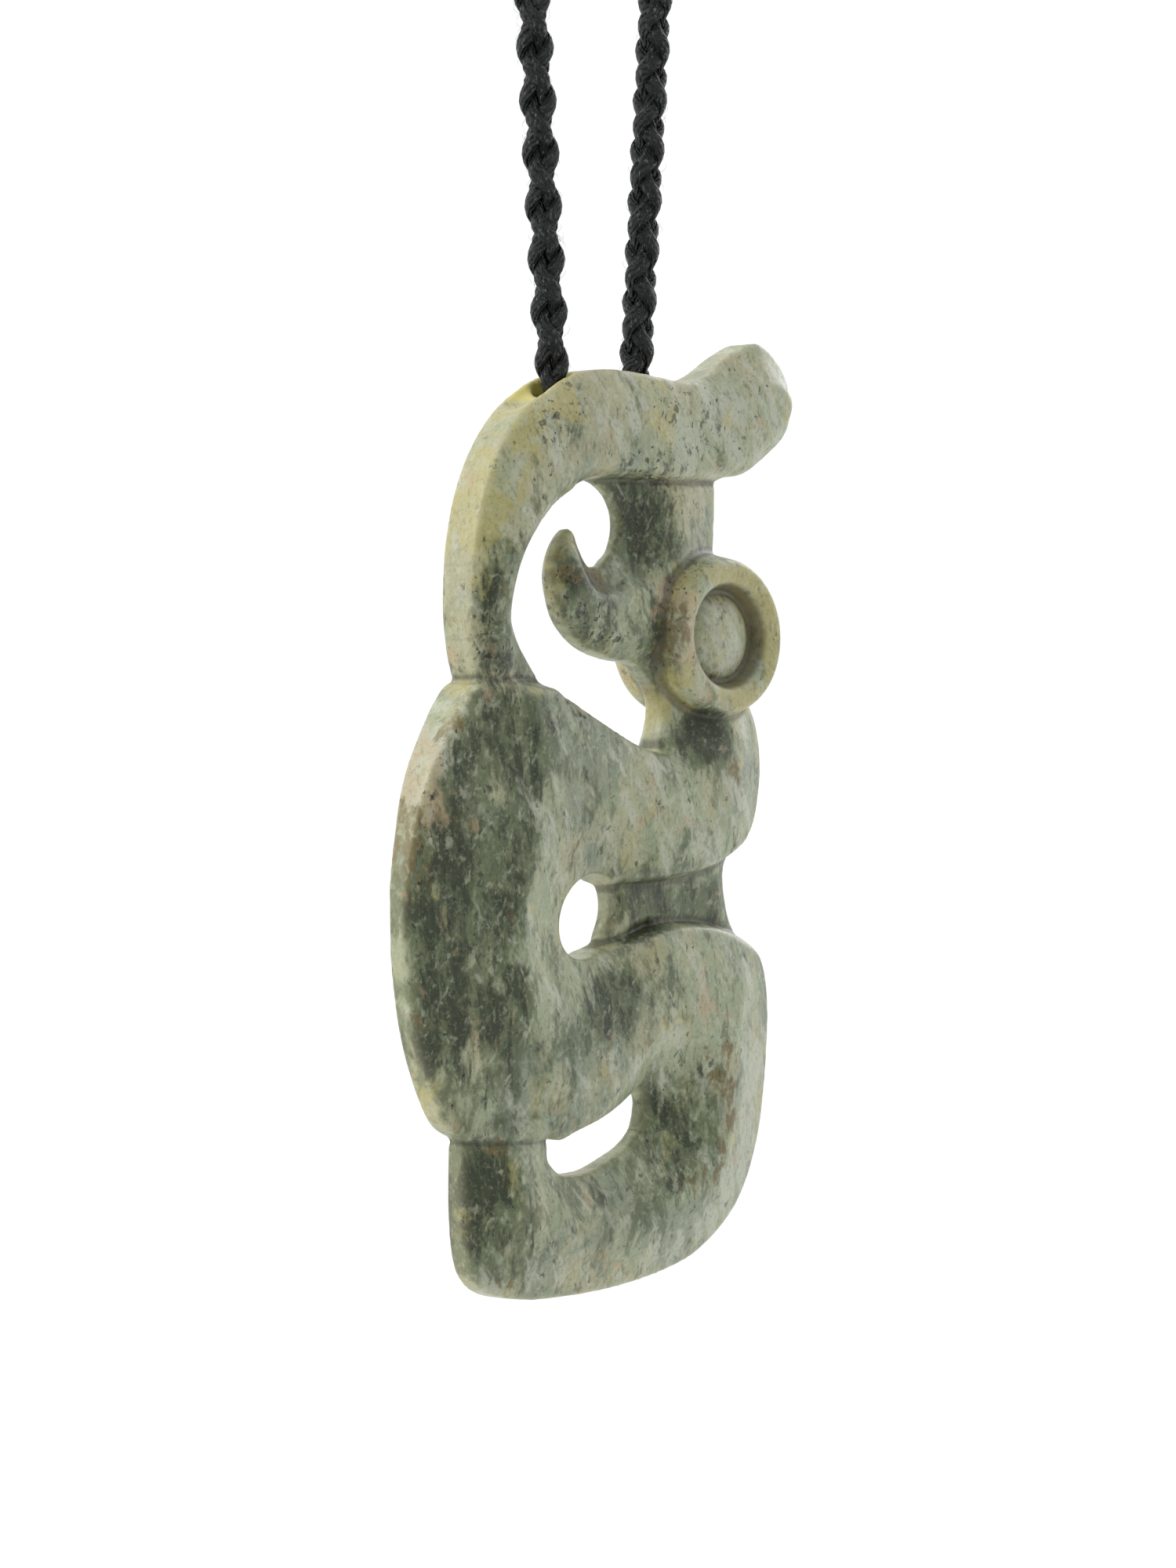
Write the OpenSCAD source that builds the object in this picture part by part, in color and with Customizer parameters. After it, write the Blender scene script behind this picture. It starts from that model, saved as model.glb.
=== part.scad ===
// Carved greenstone pendant on a braided neck cord that closes in a plain barrel clasp.
// Millimetres. The carved face looks along -Y, X runs to its right and Z is up.
// The origin is the point at the nape where the underside of the clasp rests.

/* [Stone] */
// Height of the carved stone
stone_h = 66.6; // [62:0.2:70]
// Greatest half thickness of the limbs, at the body's ridge
body_half_t = 3.0; // [2.7:0.1:3.2]

/* [Eye] */
// Outer radius of the raised eye ring
eye_r = 5.85; // [5.4:0.1:6.2]
// Inner radius of the eye ring at its lip
eye_inner_r = 3.7; // [3.3:0.1:4.0]
// Height of the eye ring's lip above the stone's middle plane
eye_half_t = 3.3; // [3.1:0.1:3.6]
// Height of the moat inside the ring above the middle plane
eye_moat_t = 1.65; // [1.4:0.05:2.2]
// Height of the domed centre above the middle plane
eye_dome_t = 2.6; // [2.3:0.05:2.8]

/* [Cord] */
// Diameter of the braided cord
cord_d = 2.4; // [2.2:0.1:2.5]
// Clear diameter of the tunnel that the cord runs through
tunnel_d = 3.2; // [3.1:0.1:3.4]
// Distance between the two strands where they leave the stone
strand_gap = 8.8; // [8.4:0.2:9.2]
// Angle by which each strand leans away from upright
strand_lean = 4.7; // [4.2:0.1:5.2]
// Radius of the arcs that close the loop on either side of the clasp
nape_r = 20; // [18:1:24]

/* [Clasp] */
// Length of the barrel clasp
clasp_l = 12; // [10:1:14]
// Diameter of the barrel clasp
clasp_d = 4.6; // [4.2:0.2:5.2]
// Depth of the socket that takes the cord's end at each side
socket_l = 3.5; // [3:0.5:4.5]

/* [Hidden] */

// Limb tables: a row for each section across a limb, from its inner edge to its
// outer edge. Each edge has a half thickness (rim) and a bevel of some width that
// climbs to the limb's full half thickness. The body's two bevels meet at its ridge.
// Places are measured on a stone of table_h and table_half_t, x from the middle of
// the cord tunnel and z up from the lowest point.
INNER_X = 0;
INNER_Z = 1;
OUTER_X = 2;
OUTER_Z = 3;
HALF_T = 4;
INNER_RIM = 5;
OUTER_RIM = 6;
INNER_BEVEL = 7;
OUTER_BEVEL = 8;
table_h = 66.8;
table_half_t = 3.0;
tunnel_z = 59.9;

// Crest at the top right, arch over the head and the stem that runs under the body
ARCH = [
    [20.8, 62.9, 20.8, 63.6, 1.7, 1.1, 1.0, 0.5, 0.5],
    [20.4, 61.8, 20.5, 64.6, 2.0, 1.2, 1.05, 1.0, 1.2],
    [19.7, 60.7, 19.4, 65.7, 2.2, 1.3, 1.1, 1.4, 1.8],
    [17.9, 58.9, 16.9, 66.8, 2.4, 1.5, 1.1, 1.4, 2.2],
    [14.8, 57.3, 13.7, 65.6, 2.4, 1.7, 1.1, 1.2, 2.4],
    [11.6, 56.8, 11.0, 64.0, 2.4, 2.1, 1.4, 0.7, 2.2],
    [7.0, 56.5, 7.8, 63.3, 2.5, 2.35, 1.95, 0.5, 1.8],
    [1.4, 56.5, 1.6, 63.6, 2.6, 2.4, 2.0, 0.5, 2.0],
    [-2.2, 56.0, -3.8, 63.0, 2.6, 2.1, 1.8, 0.8, 2.2],
    [-4.9, 54.7, -9.1, 60.2, 2.6, 1.6, 1.5, 1.2, 2.4],
    [-7.0, 53.1, -12.4, 55.9, 2.6, 1.5, 1.4, 1.2, 2.4],
    [-9.2, 50.1, -13.9, 51.2, 2.5, 1.4, 1.4, 1.2, 2.2],
    [-10.3, 46.6, -14.2, 46.8, 2.4, 1.4, 1.3, 1.2, 1.6],
    [-9.7, 44.7, -14.0, 43.9, 2.2, 1.4, 1.2, 1.2, 1.6],
    [-8.3, 43.0, -13.5, 42.2, 2.0, 1.4, 1.2, 1.2, 1.6],
    [-6.6, 41.3, -12.8, 40.4, 1.8, 1.4, 1.2, 1.2, 1.6],
];

// Leaf shaped body, from the crease under the arch to its lower edge
BODY = [
    [-7.7, 41.6, -12.8, 42.3, 2.4, 1.9, 1.6, 2.4, 2.6],
    [-6.0, 41.2, -14.2, 41.3, 2.65, 2.0, 1.6, 3.9, 4.3],
    [-4.9, 38.9, -15.9, 39.2, 2.85, 2.1, 1.5, 4.0, 7.0],
    [-4.8, 34.9, -18.4, 35.1, 2.95, 2.2, 1.15, 3.1, 10.5],
    [-5.2, 30.1, -19.8, 30.1, 3.0, 2.2, 0.85, 4.5, 10.1],
    [-5.4, 26.2, -20.1, 25.8, 3.0, 2.2, 0.75, 5.1, 9.6],
    [-5.0, 22.4, -19.8, 21.8, 3.0, 2.2, 0.75, 5.3, 9.5],
    [-4.6, 18.5, -18.8, 17.6, 2.95, 2.2, 0.8, 4.7, 9.5],
    [-4.8, 14.5, -17.2, 14.1, 2.8, 2.2, 0.85, 2.0, 10.4],
    [-5.8, 11.9, -15.8, 12.2, 2.45, 2.0, 0.9, 1.5, 8.5],
    [-7.4, 11.1, -13.8, 11.3, 2.2, 2.0, 1.0, 1.0, 5.4],
];

// Arm, from the body round to the neck under the eye
ARM = [
    [-9.5, 41.6, -9.5, 25.0, 2.3, 2.0, 1.9, 2.2, 2.4],
    [-5.5, 41.0, -5.5, 26.4, 2.5, 2.0, 1.9, 2.2, 2.0],
    [-2.6, 39.8, -2.6, 28.2, 2.6, 2.0, 2.1, 2.0, 1.6],
    [2.2, 37.8, 1.6, 28.4, 2.7, 2.0, 2.3, 1.8, 1.6],
    [5.2, 37.2, 6.6, 28.6, 2.8, 1.9, 2.3, 1.8, 1.8],
    [6.4, 37.5, 11.8, 29.5, 2.8, 1.7, 2.0, 2.6, 2.6],
    [6.5, 38.2, 15.7, 31.5, 2.8, 1.2, 1.5, 4.5, 3.6],
    [6.6, 39.3, 17.4, 35.6, 2.7, 0.9, 1.1, 5.2, 4.4],
    [6.5, 40.5, 17.1, 39.2, 2.4, 0.7, 1.0, 5.2, 4.4],
    [6.1, 41.6, 15.9, 41.4, 2.0, 0.6, 0.9, 5.2, 4.0],
];

// Hip, tail and the tail's end that turns up under the body
TAIL = [
    [-9.0, 14.0, -9.0, 24.0, 2.3, 2.1, 1.9, 1.4, 1.6],
    [-6.4, 11.0, -6.4, 24.2, 2.45, 2.15, 1.9, 1.4, 1.6],
    [-4.2, 11.35, -2.9, 23.2, 2.6, 2.15, 2.2, 1.4, 1.4],
    [-1.0, 12.2, 1.2, 23.9, 2.7, 2.0, 2.35, 1.4, 1.6],
    [2.0, 13.4, 6.3, 25.0, 2.85, 1.6, 2.5, 2.0, 1.8],
    [3.6, 13.9, 12.2, 24.6, 2.9, 1.1, 2.3, 3.2, 2.6],
    [4.3, 13.8, 16.4, 23.0, 2.9, 0.7, 1.7, 5.2, 5.0],
    [4.7, 13.2, 18.2, 19.6, 2.9, 0.6, 1.2, 6.2, 6.0],
    [4.75, 12.3, 18.4, 14.8, 2.9, 0.6, 0.9, 6.4, 6.0],
    [4.3, 10.9, 17.3, 9.2, 2.8, 0.6, 0.9, 6.0, 5.6],
    [3.0, 9.8, 14.8, 4.8, 2.8, 0.7, 0.9, 5.4, 5.0],
    [1.0, 9.0, 9.8, 1.7, 2.7, 0.8, 1.0, 4.6, 4.4],
    [-0.8, 8.45, 3.4, 0.4, 2.6, 0.8, 1.0, 3.9, 4.0],
    [-2.6, 8.25, -2.6, 0.0, 2.5, 0.9, 1.0, 3.4, 3.8],
    [-4.6, 8.4, -8.5, 0.2, 2.4, 1.1, 0.9, 3.0, 3.8],
    [-6.0, 9.0, -12.8, 1.5, 2.3, 1.5, 0.8, 3.0, 4.8],
    [-6.7, 9.9, -14.3, 5.0, 2.3, 1.5, 0.7, 3.2, 4.4],
    [-6.8, 12.4, -14.4, 12.0, 2.0, 1.5, 0.7, 3.2, 4.4],
];

// Beak that hooks up in front of the head
BEAK = [
    [8.5, 50.8, 8.0, 43.5, 1.8, 0.5, 0.8, 3.0, 1.6],
    [4.5, 50.6, 4.0, 43.5, 1.9, 0.5, 0.8, 3.0, 1.6],
    [1.2, 50.2, 0.8, 43.8, 1.9, 0.5, 0.8, 2.6, 1.6],
    [-0.9, 50.0, -1.9, 44.6, 1.9, 0.5, 0.7, 2.2, 1.6],
    [-1.5, 50.3, -3.9, 46.2, 1.9, 0.5, 0.6, 2.0, 1.6],
    [-1.95, 50.9, -4.8, 48.4, 1.7, 0.5, 0.5, 1.5, 1.4],
    [-2.3, 51.5, -4.7, 50.4, 1.3, 0.5, 0.45, 1.1, 1.0],
    [-2.6, 52.1, -4.1, 51.7, 0.9, 0.45, 0.45, 0.7, 0.6],
    [-3.0, 52.5, -3.4, 52.45, 0.6, 0.4, 0.4, 0.3, 0.3],
];

// Sunk plate behind the eye, from the arm up to the arch. Its inner edge is the left one.
HEAD_PLATE = [
    [5.6, 35.0, 16.6, 35.0, 1.1, 0.9, 0.9, 2.0, 1.6],
    [6.2, 38.2, 16.6, 38.2, 1.1, 0.85, 0.9, 2.0, 1.6],
    [6.7, 40.2, 16.0, 40.2, 1.15, 0.8, 0.9, 2.0, 1.6],
    [6.2, 41.5, 15.6, 41.6, 1.3, 0.8, 0.9, 3.0, 1.6],
    [4.2, 43.2, 15.2, 43.2, 1.5, 0.8, 0.9, 3.0, 1.6],
    [2.8, 44.2, 14.8, 44.2, 1.6, 0.7, 0.9, 3.0, 1.6],
    [0.3, 47.0, 13.8, 47.0, 1.5, 0.7, 0.9, 1.2, 1.6],
    [0.4, 50.0, 12.7, 50.0, 1.6, 0.5, 0.6, 3.0, 4.4],
    [1.5, 51.2, 12.7, 51.2, 1.65, 0.45, 0.5, 5.0, 5.0],
    [2.1, 52.8, 12.8, 52.8, 1.7, 0.45, 0.45, 5.6, 5.2],
    [1.8, 54.2, 12.9, 54.2, 1.7, 0.45, 0.45, 5.8, 5.2],
    [0.6, 55.4, 12.9, 55.4, 1.7, 0.45, 0.45, 6.2, 5.2],
    [-1.9, 56.3, 12.9, 56.3, 1.6, 0.6, 0.5, 6.2, 5.2],
    [-3.0, 57.4, 12.9, 57.4, 1.6, 0.8, 0.5, 6.2, 5.2],
];

// Sunk bridge between arm and hip, which the oval gap cuts on the left
BRIDGE_PLATE = [
    [-6.0, 31.4, 15.0, 31.4, 1.15, 0.8, 0.75, 1.0, 1.2],
    [-6.0, 29.0, 13.6, 29.0, 1.15, 0.8, 0.75, 1.0, 1.2],
    [-6.0, 27.0, 13.7, 27.0, 1.15, 0.8, 0.75, 1.0, 1.2],
    [-6.0, 25.2, 14.3, 25.2, 1.15, 0.8, 0.75, 1.0, 1.2],
    [-6.0, 24.0, 15.2, 24.0, 1.15, 0.8, 0.75, 1.0, 1.2],
    [-6.0, 22.0, 16.2, 22.0, 1.15, 0.8, 0.75, 1.0, 1.2],
];

// Centre of the eye, and how much wider than high it is
eye_at = [11.4, 45.75];
eye_wide = 1.06;

// Oval gap between body and bridge: centre, half sizes, tilt and the half thickness of
// its rim, where the body's side and the thinner bridge each have their own
gap_at = [-2.2, 25.95];
gap_half = [3.45, 2.68];
gap_tilt = 32;
gap_rim_t = 1.55;
gap_bridge_rim_t = 0.7;

// Smooth curve through four rows of a table, at t from 0 to 1 between b and c
function between(a, b, c, d, t) =
    0.5 * ((2 * b) + (c - a) * t + (2 * a - 5 * b + 4 * c - d) * t * t
        + (3 * b - a - 3 * c + d) * t * t * t);

// A table with steps rows for each of its own
function smooth_rows(rows, steps) =
    let (last = len(rows) - 1)
    [for (i = [0:last - 1], k = [0:steps - 1])
        between(rows[max(i - 1, 0)], rows[i], rows[i + 1], rows[min(i + 2, last)], k / steps),
     rows[last]];

// One side of a section: distance in from the edge and half thickness, up to where the
// bevel ends. The edge is eased a little, and the bevel is slightly crowned.
function bevel_line(rim, t, bevel) =
    let (rise = t - rim)
    [[0, 0.85 * rim], [0.1 * bevel, rim + 0.12 * rise], [0.5 * bevel, rim + 0.55 * rise], [bevel, t]];

// Section of a limb as points in space, from one row of its table. Where the limb is
// too narrow for its two bevels, both shrink to leave a tenth of it flat.
function limb_ring(row) =
    let (a = [row[INNER_X], 0, row[INNER_Z]],
         b = [row[OUTER_X], 0, row[OUTER_Z]],
         width = norm(b - a),
         along = (b - a) / width,
         fit = min(1, 0.9 * width / (row[INNER_BEVEL] + row[OUTER_BEVEL])),
         outer = bevel_line(row[OUTER_RIM], row[HALF_T], fit * row[OUTER_BEVEL]),
         inner = bevel_line(row[INNER_RIM], row[HALF_T], fit * row[INNER_BEVEL]),
         front = concat(
             [for (p = outer) [width - p[0], p[1]]],
             [for (i = [len(inner) - 1:-1:0]) inner[i]]),
         last = len(front) - 1,
         k = body_half_t / table_half_t)
    concat(
        [for (p = front) a + along * p[0] - [0, k * p[1], 0]],
        [for (i = [last:-1:0]) a + along * front[i][0] + [0, k * front[i][1], 0]]);

// Closed skin over rings of equal length, with a flat end at each side
function skin_faces(rings, sides) = concat(
    [[for (k = [0:sides - 1]) k]],
    [for (i = [0:rings - 2], k = [0:sides - 1], half = [0, 1])
        let (a = i * sides + k,
             b = i * sides + (k + 1) % sides)
        half == 0 ? [a, b + sides, b] : [a, a + sides, b + sides]],
    [[for (k = [sides - 1:-1:0]) (rings - 1) * sides + k]]);

// The same skin for rings that run the other way round
function turned(faces) = [for (f = faces) [for (k = [len(f) - 1:-1:0]) f[k]]];

// One limb of the carving, lofted through its table; clockwise says which way it bends
module limb(table, clockwise, steps = 2) {
    rings = [for (row = smooth_rows(table, steps)) limb_ring(row)];
    sides = len(rings[0]);
    faces = skin_faces(len(rings), sides);
    polyhedron([for (r = rings) each r], clockwise ? turned(faces) : faces, convexity = 6);
}

// Raised ring with a moat and a domed centre, the same on both faces
module eye() {
    half = [[0, eye_dome_t], [1.6, eye_dome_t - 0.15], [2.4, eye_dome_t - 0.5],
            [eye_inner_r - 0.7, eye_moat_t], [eye_inner_r - 0.4, eye_moat_t],
            [eye_inner_r, eye_half_t - 0.3], [eye_inner_r + 0.2, eye_half_t],
            [eye_r - 0.8, eye_half_t], [eye_r - 0.25, eye_half_t - 0.6],
            [eye_r, eye_half_t - 1.4], [eye_r, 0]];
    back = [for (i = [len(half) - 2:-1:0]) [half[i][0], -half[i][1]]];
    translate([eye_at[0], 0, eye_at[1]])
        scale([eye_wide, 1, 1])
            rotate([90, 0, 0])
                rotate_extrude($fn = 48)
                    polygon(concat(half, back));
}

// Cutter for the oval gap, narrow at the middle plane and flared to both faces.
// The flare starts at half thickness rim and is flare wide where it leaves the stone.
module gap_cutter(rim, flare) {
    out_t = body_half_t + 0.4;
    long = gap_half[0];
    half = [[0, out_t], [long + flare, out_t], [long + 0.15, rim], [long, 0.8 * rim]];
    back = [for (i = [len(half) - 1:-1:0]) [half[i][0], -half[i][1]]];
    translate([gap_at[0], 0, gap_at[1]])
        rotate([90, 0, 0])
            rotate([0, 0, gap_tilt])
                scale([1, gap_half[1] / long, 1])
                    rotate_extrude($fn = 40)
                        polygon(concat(half, back));
}

module carving() {
    limb(ARCH, clockwise = true);
    difference() {
        union() {
            limb(BODY, clockwise = true);
            limb(ARM, clockwise = true);
            limb(TAIL, clockwise = false);
        }
        gap_cutter(rim = gap_rim_t, flare = 5.6);
    }
    difference() {
        limb(BRIDGE_PLATE, clockwise = false);
        gap_cutter(rim = gap_bridge_rim_t, flare = 3);
    }
    limb(BEAK, clockwise = false);
    limb(HEAD_PLATE, clockwise = true);
    eye();
}

stone_k = stone_h / table_h;
half_gap = strand_gap / 2;
bend_r = 2.4;
mouth_h = 6;
mouth_spread = 0.2;

// Tunnel for the cord: a level bore, two bends and two flared ways up to the rim.
// Each stretch is a little wider than the one before and reaches a little into it.
// The left mouth is drilled once more at a slant, which makes it oval.
module tunnel() {
    r = tunnel_d / 2;
    step = 0.06;
    reach = 0.3;
    rotate([0, 90, 0])
        cylinder(r = r - step, h = strand_gap - 2 * bend_r + 2 * reach, center = true, $fn = 40);
    for (side = [-1, 1])
        translate([side * (half_gap - bend_r), 0, bend_r])
            intersection() {
                rotate([90, 0, 0])
                    rotate_extrude($fn = 48)
                        translate([bend_r, 0])
                            circle(r = r, $fn = 40);
                translate([side > 0 ? 0 : -2 * bend_r, -bend_r, -2 * bend_r])
                    cube(2 * bend_r);
            }
    for (side = [-1, 1])
        translate([side * half_gap, 0, bend_r - reach])
            rotate([0, side * strand_lean, 0])
                cylinder(r1 = r + step, r2 = r + mouth_spread * mouth_h, h = mouth_h, $fn = 40);
    translate([0.6 - half_gap, 0, bend_r - 0.8])
        rotate([0, -42, 0])
            cylinder(r1 = r - 0.3, r2 = r + 0.1, h = 8, $fn = 40);
}

// Middle of a nape arc, its height above the tunnel and the height of the loop
arc_x = clasp_l / 2;
arc_z = bend_r + nape_r * sin(strand_lean)
    + (arc_x + nape_r * cos(strand_lean) - half_gap) / tan(strand_lean);
loop_h = arc_z + nape_r - clasp_d / 2;

module manaia_pendant() {
    color("darkseagreen")
        translate([0, 0, -loop_h])
            difference() {
                translate([0, 0, -tunnel_z * stone_k])
                    resize([0, 0, stone_h], auto = true)
                        union()
                            carving();
                tunnel();
            }
}

// Route of one half of the cord, from the tunnel's middle up to the clasp
bend_steps = 4;
strand_steps = 20;
nape_steps = 8;
strand_foot = [half_gap, bend_r];
strand_top = [arc_x + nape_r * cos(strand_lean), arc_z - nape_r * sin(strand_lean)];
HALF_ROUTE = concat(
    [for (k = [0:bend_steps - 1])
        let (a = -90 + 90 * k / bend_steps)
        [half_gap - bend_r + bend_r * cos(a), bend_r + bend_r * sin(a)]],
    [for (k = [0:strand_steps - 1]) strand_foot + (strand_top - strand_foot) * k / strand_steps],
    [for (k = [0:nape_steps])
        let (a = -strand_lean + (90 + strand_lean) * k / nape_steps)
        [arc_x + nape_r * cos(a), arc_z + nape_r * sin(a)]],
    [[arc_x - socket_l + 0.3, arc_z + nape_r]]);
route_last = len(HALF_ROUTE) - 1;
ROUTE = concat(
    [for (i = [route_last:-1:0]) [-HALF_ROUTE[i][0], HALF_ROUTE[i][1]]],
    HALF_ROUTE);

// Ring of the cord's tube round point i of its route, which lies in the XZ plane
cord_sides = 8;
function cord_ring(route, i) =
    let (a = route[max(i - 1, 0)],
         b = route[min(i + 1, len(route) - 1)],
         d = (b - a) / norm(b - a),
         r = cord_d / 2)
    [for (k = [0:cord_sides - 1])
        let (t = 360 * (k + 0.5) / cord_sides)
        [route[i][0] - d[1] * r * cos(t), r * sin(t), route[i][1] + d[0] * r * cos(t)]];

module braided_cord() {
    rings = [for (i = [0:len(ROUTE) - 1]) cord_ring(ROUTE, i)];
    color("black")
        translate([0, 0, -loop_h])
            polyhedron([for (r = rings) each r], turned(skin_faces(len(rings), cord_sides)), convexity = 8);
}

module cord_clasp() {
    r = clasp_d / 2;
    lip = 0.6;
    bore_r = cord_d / 2 + 0.1;
    color("dimgray")
        translate([0, 0, r])
            rotate([0, 90, 0])
                difference() {
                    rotate_extrude($fn = 48)
                        polygon([[0, -clasp_l / 2], [r - lip, -clasp_l / 2], [r, lip - clasp_l / 2],
                                 [r, clasp_l / 2 - lip], [r - lip, clasp_l / 2], [0, clasp_l / 2]]);
                    for (side = [-1, 1])
                        translate([0, 0, side * clasp_l / 2])
                            cylinder(r = bore_r, h = 2 * socket_l, center = true, $fn = 40);
                }
}

manaia_pendant();
braided_cord();
cord_clasp();
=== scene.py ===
"""Looks of the carved greenstone pendant on its braided neck cord.

The stone is carved from tables of its limbs. They make two flat maps, the distance to the outline and
the half thickness, and the mesh is the skin of the solid between them. The cord is four waxed strands
braided round the route of the solid cord, with fine loose fibres. The clasp keeps its CAD solid.
"""

import math

import bpy
import numpy as np
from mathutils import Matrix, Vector


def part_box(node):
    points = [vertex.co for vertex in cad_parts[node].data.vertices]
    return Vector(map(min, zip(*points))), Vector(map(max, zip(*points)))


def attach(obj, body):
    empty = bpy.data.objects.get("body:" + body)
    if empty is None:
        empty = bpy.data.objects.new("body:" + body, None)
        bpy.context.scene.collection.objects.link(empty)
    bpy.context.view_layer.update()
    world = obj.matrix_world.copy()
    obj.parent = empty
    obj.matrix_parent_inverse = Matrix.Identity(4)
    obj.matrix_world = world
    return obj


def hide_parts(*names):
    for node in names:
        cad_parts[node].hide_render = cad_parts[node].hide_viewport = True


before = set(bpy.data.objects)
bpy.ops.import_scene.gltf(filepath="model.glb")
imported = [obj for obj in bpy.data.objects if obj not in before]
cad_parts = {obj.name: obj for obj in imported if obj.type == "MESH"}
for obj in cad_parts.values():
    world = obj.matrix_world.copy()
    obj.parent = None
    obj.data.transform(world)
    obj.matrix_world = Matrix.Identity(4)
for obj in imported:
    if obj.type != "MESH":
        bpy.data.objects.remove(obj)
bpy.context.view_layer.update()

MM = 0.001

# Places on the stone are in millimetres: x from the middle of the cord tunnel, as in the frame, and
# z up from the stone's lowest point.
FOOT_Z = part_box("manaia_pendant")[0].z / MM

# Columns of a limb table. A limb lies between an inner and an outer edge. Each edge has a half
# thickness (rim) and the width of its bevel, which climbs to the limb's full half thickness.
INNER_X, INNER_Z, OUTER_X, OUTER_Z, HALF_T, INNER_RIM, OUTER_RIM, INNER_BEVEL, OUTER_BEVEL = range(9)

# Crest at the top right, arch over the head and the stem that runs under the body
ARCH = [
    [20.85, 62.6, 20.8, 63.4, 1.6, 1.1, 1, 0.5, 0.8],
    [20.7, 61.5, 20.6, 64.4, 1.9, 1.2, 1.05, 1, 2],
    [20, 60.3, 19.5, 65.6, 2.1, 1.3, 1.15, 1.4, 2.6],
    [17.9, 58.9, 16.9, 66.8, 2.3, 1.5, 1.2, 1.4, 2.8],
    [14.8, 57.3, 13.7, 65.6, 2.4, 1.7, 1.1, 1.2, 2.4],
    [11.6, 56.8, 11, 64, 2.4, 2.1, 1.4, 0.7, 2.2],
    [7, 56.5, 7.8, 63.3, 2.5, 2.35, 1.95, 0.5, 1.8],
    [1.4, 56.5, 1.6, 63.6, 2.6, 2.4, 2, 0.5, 2],
    [-2.2, 56, -3.8, 63, 2.6, 2.1, 1.8, 0.8, 2.2],
    [-4.9, 54.7, -9.1, 60.2, 2.6, 1.6, 1.5, 1.2, 2.4],
    [-7, 53.1, -12.4, 55.9, 2.6, 1.5, 1.4, 1.2, 2.4],
    [-9.2, 50.1, -13.9, 51.2, 2.5, 1.4, 1.4, 1.2, 2.2],
    [-10.3, 46.6, -14.2, 46.8, 2.4, 1.4, 1.3, 1.2, 1.6],
    [-9.7, 44.7, -14, 43.9, 2.2, 1.4, 1.2, 1.2, 1.6],
    [-8.3, 43, -13.5, 42.2, 2, 1.4, 1.2, 1.2, 1.6],
    [-6.6, 41.3, -12.8, 40.4, 1.8, 1.4, 1.2, 1.2, 1.6],
]

# Leaf shaped body, from the crease under the arch to its lower edge
BODY = [
    [-7.7, 41.6, -12.8, 42.3, 2.4, 1.9, 1.6, 2.4, 2.6],
    [-6, 41.2, -14.2, 41.3, 2.65, 2, 1.6, 3.9, 4.3],
    [-4.9, 38.9, -15.9, 39.2, 2.85, 2.1, 1.5, 4, 7],
    [-4.8, 34.9, -18.4, 35.1, 2.95, 2.2, 1.15, 3.1, 10.5],
    [-5.2, 30.1, -19.8, 30.1, 3, 2.2, 0.85, 4.5, 10.1],
    [-5.4, 26.2, -20.1, 25.8, 3, 2.2, 0.75, 5.1, 9.6],
    [-5, 22.4, -19.8, 21.8, 3, 2.2, 0.75, 5.3, 9.5],
    [-4.6, 18.5, -18.8, 17.6, 2.95, 2.2, 0.8, 4.7, 9.5],
    [-4.8, 14.5, -17.2, 14.1, 2.8, 2.2, 0.85, 2, 10.4],
    [-5.8, 11.9, -15.8, 12.2, 2.45, 2, 0.9, 1.5, 8.5],
    [-7.4, 11.1, -13.8, 11.3, 2.2, 2, 1, 1, 5.4],
]

# Arm, from the body round to the neck under the eye
ARM = [
    [-9.5, 41.6, -9.5, 25, 2.3, 2, 1.9, 2.2, 2.4],
    [-5.5, 41, -5.5, 26.4, 2.5, 2, 1.9, 2.2, 2],
    [-2.6, 39.8, -2.6, 28.2, 2.6, 2, 2.1, 2, 1.6],
    [2.2, 37.8, 1.6, 28.4, 2.7, 2, 2.3, 1.8, 1.6],
    [5.2, 37.2, 6.6, 28.6, 2.8, 1.9, 2.3, 1.8, 1.8],
    [6.4, 37.5, 11.8, 29.5, 2.8, 1.7, 2, 2.6, 2.6],
    [6.5, 38.2, 15.7, 31.5, 2.8, 1.2, 1.5, 4.5, 3.6],
    [6.6, 39.3, 17.4, 35.6, 2.7, 0.9, 1.1, 5.2, 4.4],
    [6.5, 40.5, 17.1, 39.2, 2.4, 0.7, 1, 5.2, 4.4],
    [6.1, 41.6, 15.9, 41.4, 2, 0.6, 0.9, 5.2, 4],
]

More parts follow.
